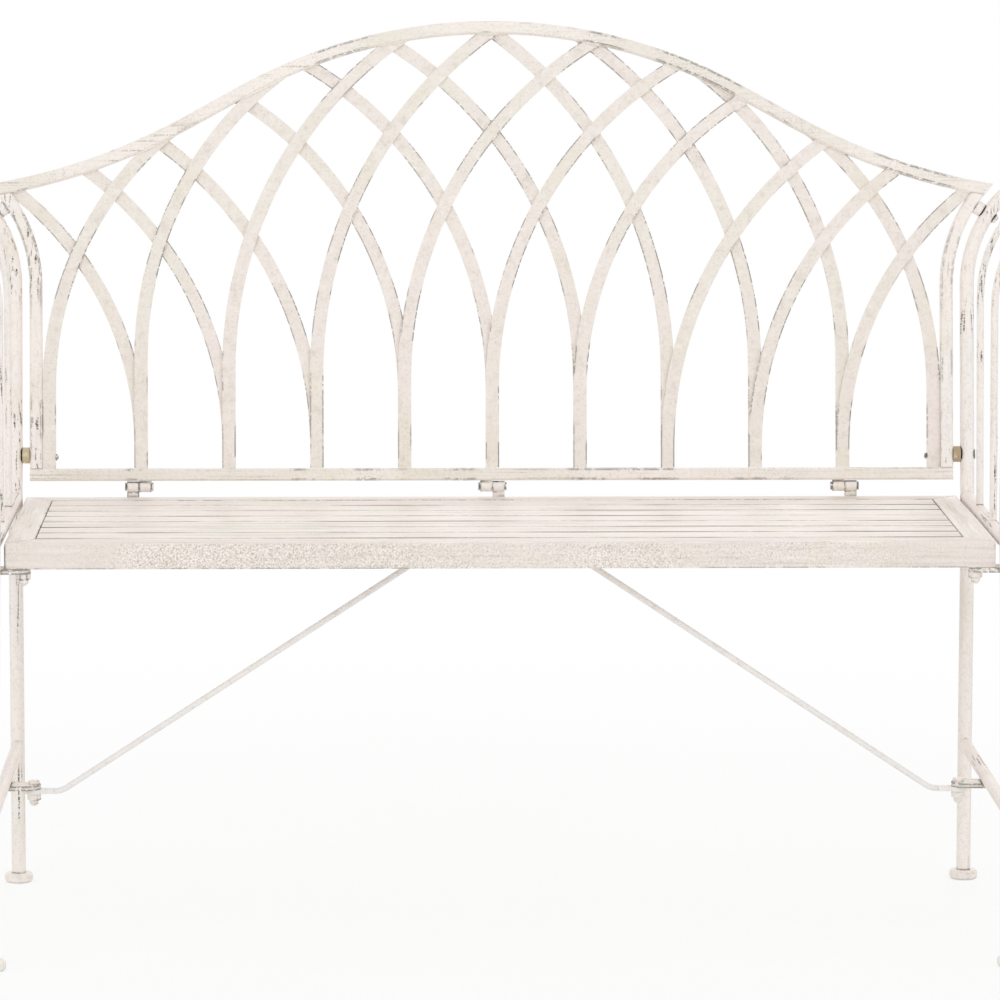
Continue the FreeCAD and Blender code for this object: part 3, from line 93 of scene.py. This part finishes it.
class Tree:
    """Node tree of one material, with short calls for the nodes used here."""

    def __init__(self, name):
        self.material = bpy.data.materials.new(name)
        self.material.use_nodes = True
        self.nodes = self.material.node_tree.nodes
        self.links = self.material.node_tree.links
        self.nodes.clear()
        self.output = self.add("ShaderNodeOutputMaterial")
        self.shader = self.add("ShaderNodeBsdfPrincipled")
        self.link(self.shader.outputs["BSDF"], self.output.inputs["Surface"])
        self.place = self.add("ShaderNodeTexCoord").outputs["Object"]

    def add(self, kind):
        return self.nodes.new(kind)

    def link(self, source, target):
        self.links.new(source, target)

    def feed(self, socket, value):
        """Set a socket to a plain value or link it."""
        if isinstance(value, bpy.types.NodeSocket):
            self.link(value, socket)
        else:
            socket.default_value = value

    def stretched(self, scale):
        """Coordinates scaled by a different amount along each axis."""
        mapping = self.add("ShaderNodeMapping")
        mapping.inputs["Scale"].default_value = scale
        self.link(self.place, mapping.inputs["Vector"])
        return mapping.outputs["Vector"]

    def noise(self, scale, detail=2.0, rough=0.5, place=None):
        """Cloudy pattern with so many features per metre."""
        node = self.add("ShaderNodeTexNoise")
        node.inputs["Scale"].default_value = scale
        node.inputs["Detail"].default_value = detail
        node.inputs["Roughness"].default_value = rough
        self.link(place or self.place, node.inputs["Vector"])
        return node.outputs["Fac"]

    def lines(self, way, detail=3.0, rough=0.6):
        """Cloudy pattern drawn out into lines."""
        return self.noise(1.0, detail, rough, self.stretched(way))

    def cells(self, scale):
        """Distance to the middles of random cells, for a pebbled surface."""
        node = self.add("ShaderNodeTexVoronoi")
        node.feature = "SMOOTH_F1"
        node.inputs["Scale"].default_value = scale
        node.inputs["Smoothness"].default_value = CELL_SMOOTHNESS
        self.link(self.place, node.inputs["Vector"])
        return node.outputs["Distance"]

    def band(self, value, low, high, start=0.0, end=1.0):
        """Value brought from low..high to start..end, smoothly and clamped."""
        node = self.add("ShaderNodeMapRange")
        node.interpolation_type = "SMOOTHSTEP"
        self.feed(node.inputs["Value"], value)
        node.inputs["From Min"].default_value = low
        node.inputs["From Max"].default_value = high
        node.inputs["To Min"].default_value = start
        node.inputs["To Max"].default_value = end
        return node.outputs["Result"]

    def math(self, operation, first, second=0.0):
        """One operation on one or two values."""
        node = self.add("ShaderNodeMath")
        node.operation = operation
        self.feed(node.inputs[0], first)
        self.feed(node.inputs[1], second)
        return node.outputs["Value"]

    def product(self, *values):
        """All values multiplied together."""
        result = values[0]
        for value in values[1:]:
            result = self.math("MULTIPLY", result, value)
        return result

    def mix(self, share, first, second):
        """Colour that goes from the first to the second as share goes from 0 to 1."""
        node = self.add("ShaderNodeMix")
        node.data_type = "RGBA"
        self.feed(node.inputs["Factor"], share)
        self.feed(node.inputs["A"], first)
        self.feed(node.inputs["B"], second)
        return node.outputs["Result"]

    def bump(self, height, strength, distance):
        """Normal of a surface with fine relief."""
        node = self.add("ShaderNodeBump")
        node.inputs["Strength"].default_value = strength
        node.inputs["Distance"].default_value = distance
        self.link(height, node.inputs["Height"])
        return node.outputs["Normal"]

    def axis(self, source, letter):
        """One part of a vector."""
        split = self.add("ShaderNodeSeparateXYZ")
        self.link(source, split.inputs["Vector"])
        return split.outputs[letter]

    def level(self):
        """1 on faces that look up or down with the seat down, 0 on upright ones."""
        facing = self.axis(self.add("ShaderNodeTexCoord").outputs["Normal"], "Z")
        return self.band(self.math("ABSOLUTE", facing), UPRIGHT_BELOW, LEVEL_ABOVE)

    def edges(self, radius):
        """How near a surface point is to an outer or inner edge: 0 on flats, up to 1 on edges."""
        bevel = self.add("ShaderNodeBevel")
        bevel.samples = SURFACE_SAMPLES
        bevel.inputs["Radius"].default_value = radius
        plain = self.add("ShaderNodeNewGeometry")
        dot = self.add("ShaderNodeVectorMath")
        dot.operation = "DOT_PRODUCT"
        self.link(bevel.outputs["Normal"], dot.inputs[0])
        self.link(plain.outputs["Normal"], dot.inputs[1])
        return self.band(dot.outputs["Value"], FLAT_ABOVE, EDGE_BELOW)

    def crevice(self, distance):
        """How hidden a surface point is by what stands close to it."""
        shade = self.add("ShaderNodeAmbientOcclusion")
        shade.samples = SURFACE_SAMPLES
        shade.inputs["Distance"].default_value = distance
        return self.band(shade.outputs["AO"], OPEN_ABOVE, HIDDEN_BELOW)


# Stretch of brushed and rubbed marks along each axis, per metre
UPRIGHT = (360.0, 360.0, 9.0)
ACROSS = (9.0, 360.0, 360.0)
DEEP = (360.0, 9.0, 360.0)
NO_WAY = (90.0, 90.0, 90.0)
SEAT_LINES = (2.6, 62.0, 62.0)
SEAT_FINE = (7.0, 125.0, 125.0)
SIDE_LINES = (62.0, 2.6, 62.0)
SIDE_FINE = (125.0, 7.0, 125.0)
GAP_LINES = (5.0, 50.0, 50.0)

# Features per metre in each pattern of the finish
SHADE_CLOUDS = 7.0
WARM_CLOUDS = 17.0
FRECKLE_CLOUDS = 21.0
GRAIN = 640.0
MOTTLE = 260.0
PEBBLES = 400.0
WEAR_PATCHES = 13.0
WEAR_DASHES = 140.0
WEAR_FLECKS = 520.0
SCRAPES = 24.0
RUB_DOTS = 620.0
RUB_PATCHES = 8.0
JOINT_BREAKS = 110.0
APRON_PATCHES = 6.0
APRON_DAPPLE = 520.0
APRON_PITS = 480.0
FLOOR_CLOUDS = 3.0

# Widths of worn edges and of the tabs' wider dark edges (wear and painted shade between plates), reach of
# the painted shade in joints, and the heights between which the back's strips are scraped, in metres
EDGE_RIM = 0.003
TAB_WEAR_AND_SHADE_RIM = 0.0045
JOINT_REACH = 0.006
LOW_WEAR_TOP = 0.54
LOW_WEAR_FOOT = 0.495

# Distances from the middle, in metres, up to which the apron's dapple is full and beyond which it is faint
APRON_FULL = 0.38
APRON_FAINT = 0.5

# How strong the apron's dapple and pits are
DAPPLE_STRENGTH = 0.95
PIT_STRENGTH = 0.6

# How the paint takes light, and the shares and depth of its relief
PAINT_ROUGH = 0.48
BARE_ROUGH = 0.74
PAINT_SPECULAR = 0.3
PEBBLE_SHARE = 0.7
GRAIN_SHARE = 0.3
RELIEF_DEPTH = 0.0004


def bare_edges(tree, wear, spread, low_wear, rim):
    """Broken dark lines where the paint is rubbed off along edges.

    They come in patches that cover more as spread grows. low_wear adds more of them just above the bottom
    rail of the back.
    """
    patch = tree.band(tree.noise(WEAR_PATCHES, 2.0, 0.5), 0.6 - spread, 0.68 - spread)
    dash = tree.band(tree.noise(WEAR_DASHES, 3.0, 0.6), 0.43, 0.5)
    if low_wear > 0:
        low = tree.band(tree.axis(tree.place, "Z"), LOW_WEAR_TOP, LOW_WEAR_FOOT)
        often = tree.band(tree.noise(SCRAPES, 1.0, 0.5), 0.48, 0.52)
        scraped = tree.product(low, often, low_wear)
        patch = tree.math("MAXIMUM", patch, scraped)
        dash = tree.math("MAXIMUM", dash, scraped)
    fleck = tree.band(tree.noise(WEAR_FLECKS, 2.0, 0.6), 0.56, 0.62)
    lines = tree.product(tree.edges(rim), tree.math("MAXIMUM", dash, fleck))
    return tree.product(lines, patch, wear)


def rubbed_marks(tree, streak, rub):
    """Thin rows of dark flecks that run one way, in patches."""
    row = tree.band(tree.lines(streak, 2.0, 0.5), 0.58, 0.64)
    dots = tree.band(tree.noise(RUB_DOTS, 2.0, 0.6), 0.46, 0.54)
    patch = tree.band(tree.noise(RUB_PATCHES, 2.0, 0.5), 0.47, 0.57)
    return tree.product(row, dots, patch, rub)


def painted_joint_shade(tree, joint_shade):
    """Painted shade: broken dark lines in joints and corners, where nearby parts hide the surface."""
    broken = tree.band(tree.noise(JOINT_BREAKS, 3.0, 0.6), 0.4, 0.56, 0.1, 1.0)
    return tree.product(tree.crevice(JOINT_REACH), broken, joint_shade)


def painted(name, base, tint, streak, wear=1.0, rub=0.8, joint_shade=0.6, spread=0.15, low_wear=0.0,
            speck=0.25, mottled=0.22, relief=0.3, rim=EDGE_RIM, finish=None):
    """Brushed and rubbed paint on metal.

    base and tint are the paint's two shades and streak stretches the brush marks along each axis. wear,
    rub, joint_shade and speck say how dark the edges, rubbed rows, painted shade in joints and specks are.
    spread says how much of the edges is worn, low_wear how much more near the bottom rail, and rim how wide
    the worn edges are. mottled says how cloudy the coat is and relief how pebbled. finish adds to the colour
    before the wear and the painted shade.
    """
    tree = Tree(name)
    drift = tree.band(tree.noise(SHADE_CLOUDS, 3.0, 0.6), 0.35, 0.68)
    warm = tree.band(tree.noise(WARM_CLOUDS, 2.0), 0.5, 0.74, 0.0, 0.5)
    coat = tree.mix(warm, tree.mix(drift, base, tint), STRAW)
    brushed = tree.lines(streak)
    coat = tree.mix(tree.band(brushed, 0.52, 0.72, 0.0, 0.3), coat, SHADE)
    coat = tree.mix(tree.band(brushed, 0.46, 0.3, 0.0, 0.4), coat, CHALK)
    grain = tree.noise(GRAIN, 2.0, 0.6)
    freckled = tree.band(tree.noise(FRECKLE_CLOUDS, 2.0, 0.5), 0.48, 0.64, 0.25, 1.0)
    coat = tree.mix(tree.product(tree.band(grain, 0.56, 0.68), freckled, speck), coat, RUST)
    mottle = tree.noise(MOTTLE, 2.0, 0.6)
    coat = tree.mix(tree.band(mottle, 0.5, 0.68, 0.0, mottled), coat, SHADE)
    if finish is not None:
        coat = finish(tree, coat)
    # Dark brown over worn edges and rubbed rows, and painted shade in joints and corners
    worn_and_shaded = bare_edges(tree, wear, spread, low_wear, rim)
    worn_and_shaded = tree.math("MAXIMUM", worn_and_shaded, rubbed_marks(tree, streak, rub))
    # Painted shade in joints and corners, darker where nearby parts hide the surface
    worn_and_shaded = tree.math("MAXIMUM", worn_and_shaded, painted_joint_shade(tree, joint_shade))
    tree.link(tree.mix(worn_and_shaded, coat, BARE_AND_SHADE), tree.shader.inputs["Base Color"])
    tree.link(tree.band(worn_and_shaded, 0.0, 1.0, PAINT_ROUGH, BARE_ROUGH), tree.shader.inputs["Roughness"])
    tree.shader.inputs["Specular IOR Level"].default_value = PAINT_SPECULAR
    pebble = tree.product(tree.cells(PEBBLES), PEBBLE_SHARE)
    height = tree.math("ADD", pebble, tree.product(grain, GRAIN_SHARE))
    tree.link(tree.bump(height, relief, RELIEF_DEPTH), tree.shader.inputs["Normal"])
    return tree.material


def streaky(tree, coat, wide_way=SEAT_LINES, fine_way=SEAT_FINE):
    """Long brush lines on the seat."""
    wide = tree.lines(wide_way)
    fine = tree.lines(fine_way)
    coat = tree.mix(tree.band(wide, 0.52, 0.7, 0.0, 0.6), coat, SHADE)
    coat = tree.mix(tree.band(fine, 0.56, 0.68, 0.0, 0.6), coat, SHADE)
    return tree.mix(tree.band(fine, 0.44, 0.32, 0.0, 0.7), coat, CHALK)


def slat_finish(tree, coat):
    """Brush lines on top of a slat, and uneven darker brown on its narrow sides, the faces that stand in the
    gaps between slats.
    """
    coat = streaky(tree, coat)
    uneven = tree.band(tree.lines(GAP_LINES), 0.42, 0.6)
    side = tree.product(tree.math("SUBTRACT", 1.0, tree.level()), uneven)
    return tree.mix(side, coat, GAP_BROWN)


def side_finish(tree, coat):
    """Brush lines along a side rail of the seat."""
    return streaky(tree, coat, SIDE_LINES, SIDE_FINE)


def hammered(tree, coat):
    """Pitted, dappled coat on the apron, which fades towards its ends, and brush lines on its top."""
    level = tree.level()
    lined = tree.mix(level, coat, streaky(tree, coat))
    across = tree.math("ABSOLUTE", tree.axis(tree.place, "X"))
    inward = tree.band(across, APRON_FAINT, APRON_FULL, 0.25, 1.0)
    patchy = tree.band(tree.noise(APRON_PATCHES, 2.0, 0.5), 0.36, 0.6, 0.45, 1.0)
    dense = tree.product(inward, patchy, tree.math("SUBTRACT", 1.0, level))
    dapple = tree.noise(APRON_DAPPLE, 1.0, 0.6)
    dark = tree.product(tree.band(dapple, 0.46, 0.34), dense, DAPPLE_STRENGTH)
    pale = tree.product(tree.band(dapple, 0.54, 0.64), dense, DAPPLE_STRENGTH)
    pitted = tree.band(tree.noise(APRON_PITS, 1.0, 0.5), 0.33, 0.27)
    pit = tree.product(pitted, dense, PIT_STRENGTH)
    lined = tree.mix(dark, lined, SHADE)
    lined = tree.mix(pale, lined, CHALK)
    return tree.mix(pit, lined, RUST)


# One finish for each kind of piece
paint_strip = painted(
    "paint_strip", STRIP_CREAM, STRIP_ROSE, NO_WAY,
    wear=1.4, rub=0.0, joint_shade=0.35, spread=0.105, low_wear=1.0)
paint_stile = painted("paint_stile", POST_CREAM, POST_GREY, UPRIGHT, wear=0.8, rub=0.9, joint_shade=0.12)
paint_end_strip = painted(
    "paint_end_strip", STRIP_CREAM, STRIP_ROSE, NO_WAY, wear=1.4, rub=0.0, joint_shade=0.1, spread=0.1)
paint_post = painted("paint_post", POST_CREAM, POST_GREY, UPRIGHT, rub=1.0, joint_shade=1.5)
paint_crest = painted(
    "paint_crest", POST_CREAM, CREAM, ACROSS, wear=1.0, rub=0.4, joint_shade=0.08, spread=0.075, speck=0.45)
paint_level = painted(
    "paint_level", POST_CREAM, CREAM, ACROSS, wear=1.2, rub=0.3, joint_shade=0.15, spread=0.08, speck=0.4)
paint_weld = painted("paint_weld", POST_CREAM, STRIP_CREAM, NO_WAY, wear=0.0, rub=0.0, joint_shade=0.05)
paint_arm = painted("paint_arm", POST_CREAM, ROSE, DEEP, rub=1.0, joint_shade=0.9, spread=0.18)
paint_slat = painted("paint_slat", ROSE, CREAM, ACROSS, wear=0.3, rub=0.2, joint_shade=0.05, finish=slat_finish)
paint_apron = painted(
    "paint_apron", APRON_CREAM, APRON_ROSE, ACROSS, wear=0.75, rub=0.1, joint_shade=0.5, finish=hammered)
paint_side = painted("paint_side", ROSE, CREAM, DEEP, wear=0.6, rub=0.1, joint_shade=0.2, finish=side_finish)
paint_stay = painted(
    "paint_stay", STAY_WHITE, POST_GREY, NO_WAY,
    wear=0.0, rub=0.0, joint_shade=0.7, speck=0.0, mottled=0.0, relief=0.04)
paint_small = painted("paint_small", POST_CREAM, POST_GREY, NO_WAY, rub=0.0, joint_shade=1.0, spread=0.2)
# Tabs, lugs, hinge pins and bolt ends: wide dark edges and strong joint darkening, partly wear and partly
# painted shade in the gaps between plates
paint_tab_wear_and_shade = painted(
    "paint_tab_wear_and_shade", POST_CREAM, CREAM, NO_WAY, wear=2.0, rub=0.0, joint_shade=1.6, spread=0.4, rim=TAB_WEAR_AND_SHADE_RIM)
paint_foot = painted("paint_foot", POST_CREAM, POST_GREY, NO_WAY, wear=0.6, rub=0.0, joint_shade=0.0, spread=0.0)
tan_ring = painted("tan_ring", SPACER_TAN, SPACER_SHADE, NO_WAY, wear=0.5, rub=0.0, joint_shade=0.3)


def finish_for(name):
    """Which finish a node gets."""
    if name == "lower_spacers":
        return tan_ring
    if name in ("left_stay", "right_stay"):
        return paint_stay
    if name in ("seat_front_rail", "seat_rear_rail"):
        return paint_apron
    if name in ("seat_left_rail", "seat_right_rail"):
        return paint_side
    if name == "feet":
        return paint_foot
    if name.startswith("slat_"):
        return paint_slat
    if name == "top_rail":
        return paint_crest
    if name == "bottom_rail":
        return paint_level
    if name in ("left_stile", "right_stile"):
        return paint_stile
    if name in ("front_strip_01", "rear_strip_01"):
        return paint_end_strip
    if "strip" in name:
        return paint_strip
    if "arm_rail" in name or "side_rail" in name or "stretcher" in name:
        return paint_arm
    if "leg" in name or name == "arm_bars":
        return paint_post
    if name in ("tabs", "corner_lugs", "hinge_pins"):
        return paint_tab_wear_and_shade
    return paint_small


def dress(piece, material):
    """One material all over a piece."""
    piece.data.materials.clear()
    piece.data.materials.append(material)


for name, piece in NODES.items():
    dress(piece, finish_for(name))


# Beads of weld where the strips of the back meet its rails, with lengths in metres
RECLINE = math.radians(7.5)
BACK_FOOT = Vector((0.0, 0.211451, 0.44))
BACK_DEEP = Vector((0.0, math.cos(RECLINE), -math.sin(RECLINE)))
BACK_UP = Vector((0.0, math.sin(RECLINE), math.cos(RECLINE)))
STRIPS = 10
STRIP_THICK = 0.004
WELD_RADIUS = 0.0021
WELD_STEP = 0.0011
WELD_RIPPLE = 0.0028
WELD_SIDES = 8
WELD_LEAST_STEPS = 6
WELD_END_ROUNDING = 6
WELD_END_LEAST = 0.05
WELD_RIPPLE_DEPTH = 0.14
WELD_SWELL_DEPTH = 0.08
WELD_SWELL_RATE = 190.0
WELD_SWELL_SHIFT = 7.3
WELD_STRIP_SHIFT = 1.7
WELD_DEPTH_SHIFT = 900
FACE_SLACK = 0.0002
JOINT_SLACK = 0.0008


def new_piece(name, mesh, body, material):
    """Object for a mesh, with its finish, that moves with a body."""
    piece = bpy.data.objects.new(name, mesh)
    bpy.context.scene.collection.objects.link(piece)
    dress(piece, material)
    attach(piece, body)


def surface(name):
    """Search tree over a node's faces."""
    mesh = NODES[name].data
    return BVHTree.FromPolygons(
        [corner.co for corner in mesh.vertices], [list(face.vertices) for face in mesh.polygons])


def joint_line(name, rail, depth):
    """Ends of the line on a strip's front face along which it meets a rail."""
    found = []
    for corner in NODES[name].data.vertices:
        on_front = abs((corner.co - BACK_FOOT).dot(BACK_DEEP) - depth) < FACE_SLACK
        if on_front and rail.find_nearest(corner.co)[3] < JOINT_SLACK:
            found.append(corner.co.copy())
    found.sort(key=lambda point: point.x)
    return found[0], found[-1]


def weld(bm, first, last, outward, phase):
    """Rippled bead of weld from one point to another, that stands out of a corner."""
    way = (last - first).normalized()
    lift = outward.normalized()
    across = way.cross(lift).normalized()
    length = (last - first).length
    steps = max(WELD_LEAST_STEPS, round(length / WELD_STEP))
    rings = []
    for step in range(steps + 1):
        share = step / steps
        along = share * length
        taper = math.sqrt(max(WELD_END_LEAST, 1 - (2 * share - 1) ** WELD_END_ROUNDING))
        ripple = 1 - WELD_RIPPLE_DEPTH * (1 - math.sin(2 * math.pi * along / WELD_RIPPLE + phase))
        swell = 1 - WELD_SWELL_DEPTH * (1 - math.sin(WELD_SWELL_SHIFT * phase + WELD_SWELL_RATE * along))
        radius = WELD_RADIUS * taper * ripple * swell
        middle = first + way * along
        ring = []
        for side in range(WELD_SIDES):
            angle = 2 * math.pi * side / WELD_SIDES
            spoke = lift * math.cos(angle) + across * math.sin(angle)
            ring.append(bm.verts.new(middle + spoke * radius))
        rings.append(ring)
    for one, two in zip(rings, rings[1:]):
        for side in range(WELD_SIDES):
            after = (side + 1) % WELD_SIDES
            bm.faces.new((one[side], one[after], two[after], two[side]))
    bm.faces.new(rings[0][::-1])
    bm.faces.new(rings[-1])


def finished_mesh(name, bm):
    """Smooth-shaded mesh from a bmesh."""
    bmesh.ops.recalc_face_normals(bm, faces=bm.faces)
    for face in bm.faces:
        face.smooth = True
    mesh = bpy.data.meshes.new(name)
    bm.to_mesh(mesh)
    bm.free()
    return mesh


def rail_welds(name, rail_name, upward):
    """Beads along one rail, at the end of every strip that meets it."""
    rail = surface(rail_name)
    bm = bmesh.new()
    for layer, depth in (("front", -STRIP_THICK), ("rear", 0.0)):
        for number in range(1, STRIPS + 1):
            strip = "%s_strip_%02d" % (layer, number)
            first, last = joint_line(strip, rail, depth)
            phase = WELD_STRIP_SHIFT * number + WELD_DEPTH_SHIFT * depth
            weld(bm, first, last, BACK_UP * upward - BACK_DEEP, phase)
    new_piece(name, finished_mesh(name, bm), "frame", paint_weld)


rail_welds("foot_welds", "bottom_rail", 1.0)
rail_welds("head_welds", "top_rail", -1.0)

# Rounded ends of the lower bolts, on the inner edges of the end strips
BOLT_END_X = 0.4927
BOLT_END_UP = 0.045
BOLT_END_PROFILE = (
    (0.0, 0.0030), (0.0012, 0.0029), (0.0023, 0.0024), (0.0031, 0.0016), (0.0036, 0.0006), (0.0037, -0.0006))
BOLT_END_SIDES = 16


def dome(bm, centre, way, across, profile, sides):
    """Solid of revolution about a line, from radius and height pairs that start on the line."""
    beside = way.cross(across).normalized()
    tip = bm.verts.new(centre + way * profile[0][1])
    rings = []
    for radius, height in profile[1:]:
        ring = []
        for side in range(sides):
            angle = 2 * math.pi * side / sides
            spoke = across * math.cos(angle) + beside * math.sin(angle)
            ring.append(bm.verts.new(centre + way * height + spoke * radius))
        rings.append(ring)
    for side in range(sides):
        bm.faces.new((tip, rings[0][side], rings[0][(side + 1) % sides]))
    for one, two in zip(rings, rings[1:]):
        for side in range(sides):
            after = (side + 1) % sides
            bm.faces.new((one[side], one[after], two[after], two[side]))
    bm.faces.new(rings[-1])


ends = bmesh.new()
for side, depth in ((-1, -STRIP_THICK / 2), (1, STRIP_THICK / 2)):
    middle = BACK_FOOT + BACK_UP * BOLT_END_UP + BACK_DEEP * depth + Vector((side * BOLT_END_X, 0, 0))
    dome(ends, middle, Vector((-side, 0, 0)), BACK_UP, BOLT_END_PROFILE, BOLT_END_SIDES)
new_piece("bolt_ends", finished_mesh("bolt_ends", ends), "frame", paint_tab_wear_and_shade)


# Floor, and the pale room around it
FLOOR_HALF = 14.0
FLOOR_WHITE = (0.93, 0.93, 0.925, 1.0)
FLOOR_CLOUDED = 0.985
FLOOR_ROUGH = 0.9
FLOOR_SPECULAR = 0.1
FLOOR_GLOW_NEAR = 0.78
FLOOR_NEAR_REACH = 0.8
FLOOR_FAR_REACH = 2.2
WHITE = (1.0, 1.0, 1.0, 1.0)
WORLD_TINT = (1.0, 0.998, 0.993, 1.0)
WORLD_SOFT = 0.8
WORLD_SEEN = 1.0


def pale_floor(name, shade):
    """Matt white floor with a soft shadow near the object, which runs into the background further out."""
    tree = Tree(name)
    clouds = tree.band(tree.noise(FLOOR_CLOUDS, 2.0), 0.3, 0.7)
    clouded = tuple(FLOOR_CLOUDED * channel for channel in shade[:3]) + (1.0,)
    tree.link(tree.mix(clouds, shade, clouded), tree.shader.inputs["Base Color"])
    tree.shader.inputs["Roughness"].default_value = FLOOR_ROUGH
    tree.shader.inputs["Specular IOR Level"].default_value = FLOOR_SPECULAR
    reach = tree.add("ShaderNodeVectorMath")
    reach.operation = "LENGTH"
    tree.link(tree.place, reach.inputs[0])
    far = tree.band(reach.outputs["Value"], FLOOR_NEAR_REACH, FLOOR_FAR_REACH, FLOOR_GLOW_NEAR, 1.0)
    seen = seen_straight(tree.nodes, tree.links)
    glow = tree.add("ShaderNodeEmission")
    glow.inputs["Color"].default_value = WHITE
    glow.inputs["Strength"].default_value = WORLD_SEEN
    blend = tree.add("ShaderNodeMixShader")
    tree.link(tree.math("MULTIPLY", far, seen), blend.inputs["Fac"])
    tree.link(tree.shader.outputs["BSDF"], blend.inputs[1])
    tree.link(glow.outputs["Emission"], blend.inputs[2])
    tree.link(blend.outputs["Shader"], tree.output.inputs["Surface"])
    return tree.material


def seen_straight(nodes, links):
    """1 for rays from the camera and for those mirrored or bent on their way, 0 for soft light."""
    path = nodes.new("ShaderNodeLightPath")
    result = path.outputs["Is Camera Ray"]
    for ray in ("Is Glossy Ray", "Is Transmission Ray"):
        either = nodes.new("ShaderNodeMath")
        either.operation = "MAXIMUM"
        links.new(result, either.inputs[0])
        links.new(path.outputs[ray], either.inputs[1])
        result = either.outputs["Value"]
    return result


floor_mesh = bpy.data.meshes.new("floor")
corners = [(-FLOOR_HALF, -FLOOR_HALF, 0), (FLOOR_HALF, -FLOOR_HALF, 0),
           (FLOOR_HALF, FLOOR_HALF, 0), (-FLOOR_HALF, FLOOR_HALF, 0)]
floor_mesh.from_pydata(corners, [], [(0, 1, 2, 3)])
floor = bpy.data.objects.new("floor", floor_mesh)
bpy.context.scene.collection.objects.link(floor)
dress(floor, pale_floor("floor_white", FLOOR_WHITE))

# World: even soft light, seen as white
world = bpy.data.worlds.new("studio")
bpy.context.scene.world = world
world.use_nodes = True
world_nodes = world.node_tree.nodes
world_links = world.node_tree.links
world_nodes.clear()
world_out = world_nodes.new("ShaderNodeOutputWorld")
soft = world_nodes.new("ShaderNodeBackground")
soft.inputs["Color"].default_value = WORLD_TINT
soft.inputs["Strength"].default_value = WORLD_SOFT
white = world_nodes.new("ShaderNodeBackground")
white.inputs["Color"].default_value = WHITE
white.inputs["Strength"].default_value = WORLD_SEEN
choose = world_nodes.new("ShaderNodeMixShader")
world_links.new(seen_straight(world_nodes, world_links), choose.inputs["Fac"])
world_links.new(soft.outputs["Background"], choose.inputs[1])
world_links.new(white.outputs["Background"], choose.inputs[2])
world_links.new(choose.outputs["Shader"], world_out.inputs["Surface"])


# Lamps: large soft panels, each with its place and its power in watts
LAMP_SIZE = 3.0
LAMP_AIM = Vector((0.0, 0.0, 0.45))
LAMPS = (
    ("key", (-2.4, -4.6, 2.6), 38.0),
    ("fill", (3.2, -4.2, 2.2), 27.0),
    ("top", (0.0, -0.4, 4.6), 11.0),
    ("rear", (0.8, 4.6, 3.0), 36.0),
)


def panel(name, place, power):
    """Square area lamp that faces the object."""
    lamp = bpy.data.lights.new(name, "AREA")
    lamp.shape = "SQUARE"
    lamp.size = LAMP_SIZE
    lamp.energy = power
    thing = bpy.data.objects.new(name, lamp)
    thing.location = place
    thing.rotation_euler = (LAMP_AIM - Vector(place)).to_track_quat("-Z", "Y").to_euler()
    bpy.context.scene.collection.objects.link(thing)


for name, place, power in LAMPS:
    panel(name, place, power)

# Camera at the photograph's place
camera_data = bpy.data.cameras.new("camera")
camera_data.sensor_width = SENSOR_MM
camera_data.lens = FOCAL_PIXELS / IMAGE_WIDE * SENSOR_MM
camera_data.clip_end = CAMERA_REACH
camera = bpy.data.objects.new("camera", camera_data)
bpy.context.scene.collection.objects.link(camera)
ahead = Vector((math.sin(YAW) * math.cos(PITCH), math.cos(YAW) * math.cos(PITCH), -math.sin(PITCH)))
right = Vector((math.cos(YAW), -math.sin(YAW), 0))
above = right.cross(ahead)
turned_right = right * math.cos(ROLL) + above * math.sin(ROLL)
turned_up = above * math.cos(ROLL) - right * math.sin(ROLL)
turn = Matrix((turned_right, turned_up, -ahead)).transposed().to_4x4()
camera.matrix_world = Matrix.Translation(CAMERA_AT) @ turn
bpy.context.scene.camera = camera
bpy.context.scene.view_settings.view_transform = "Standard"
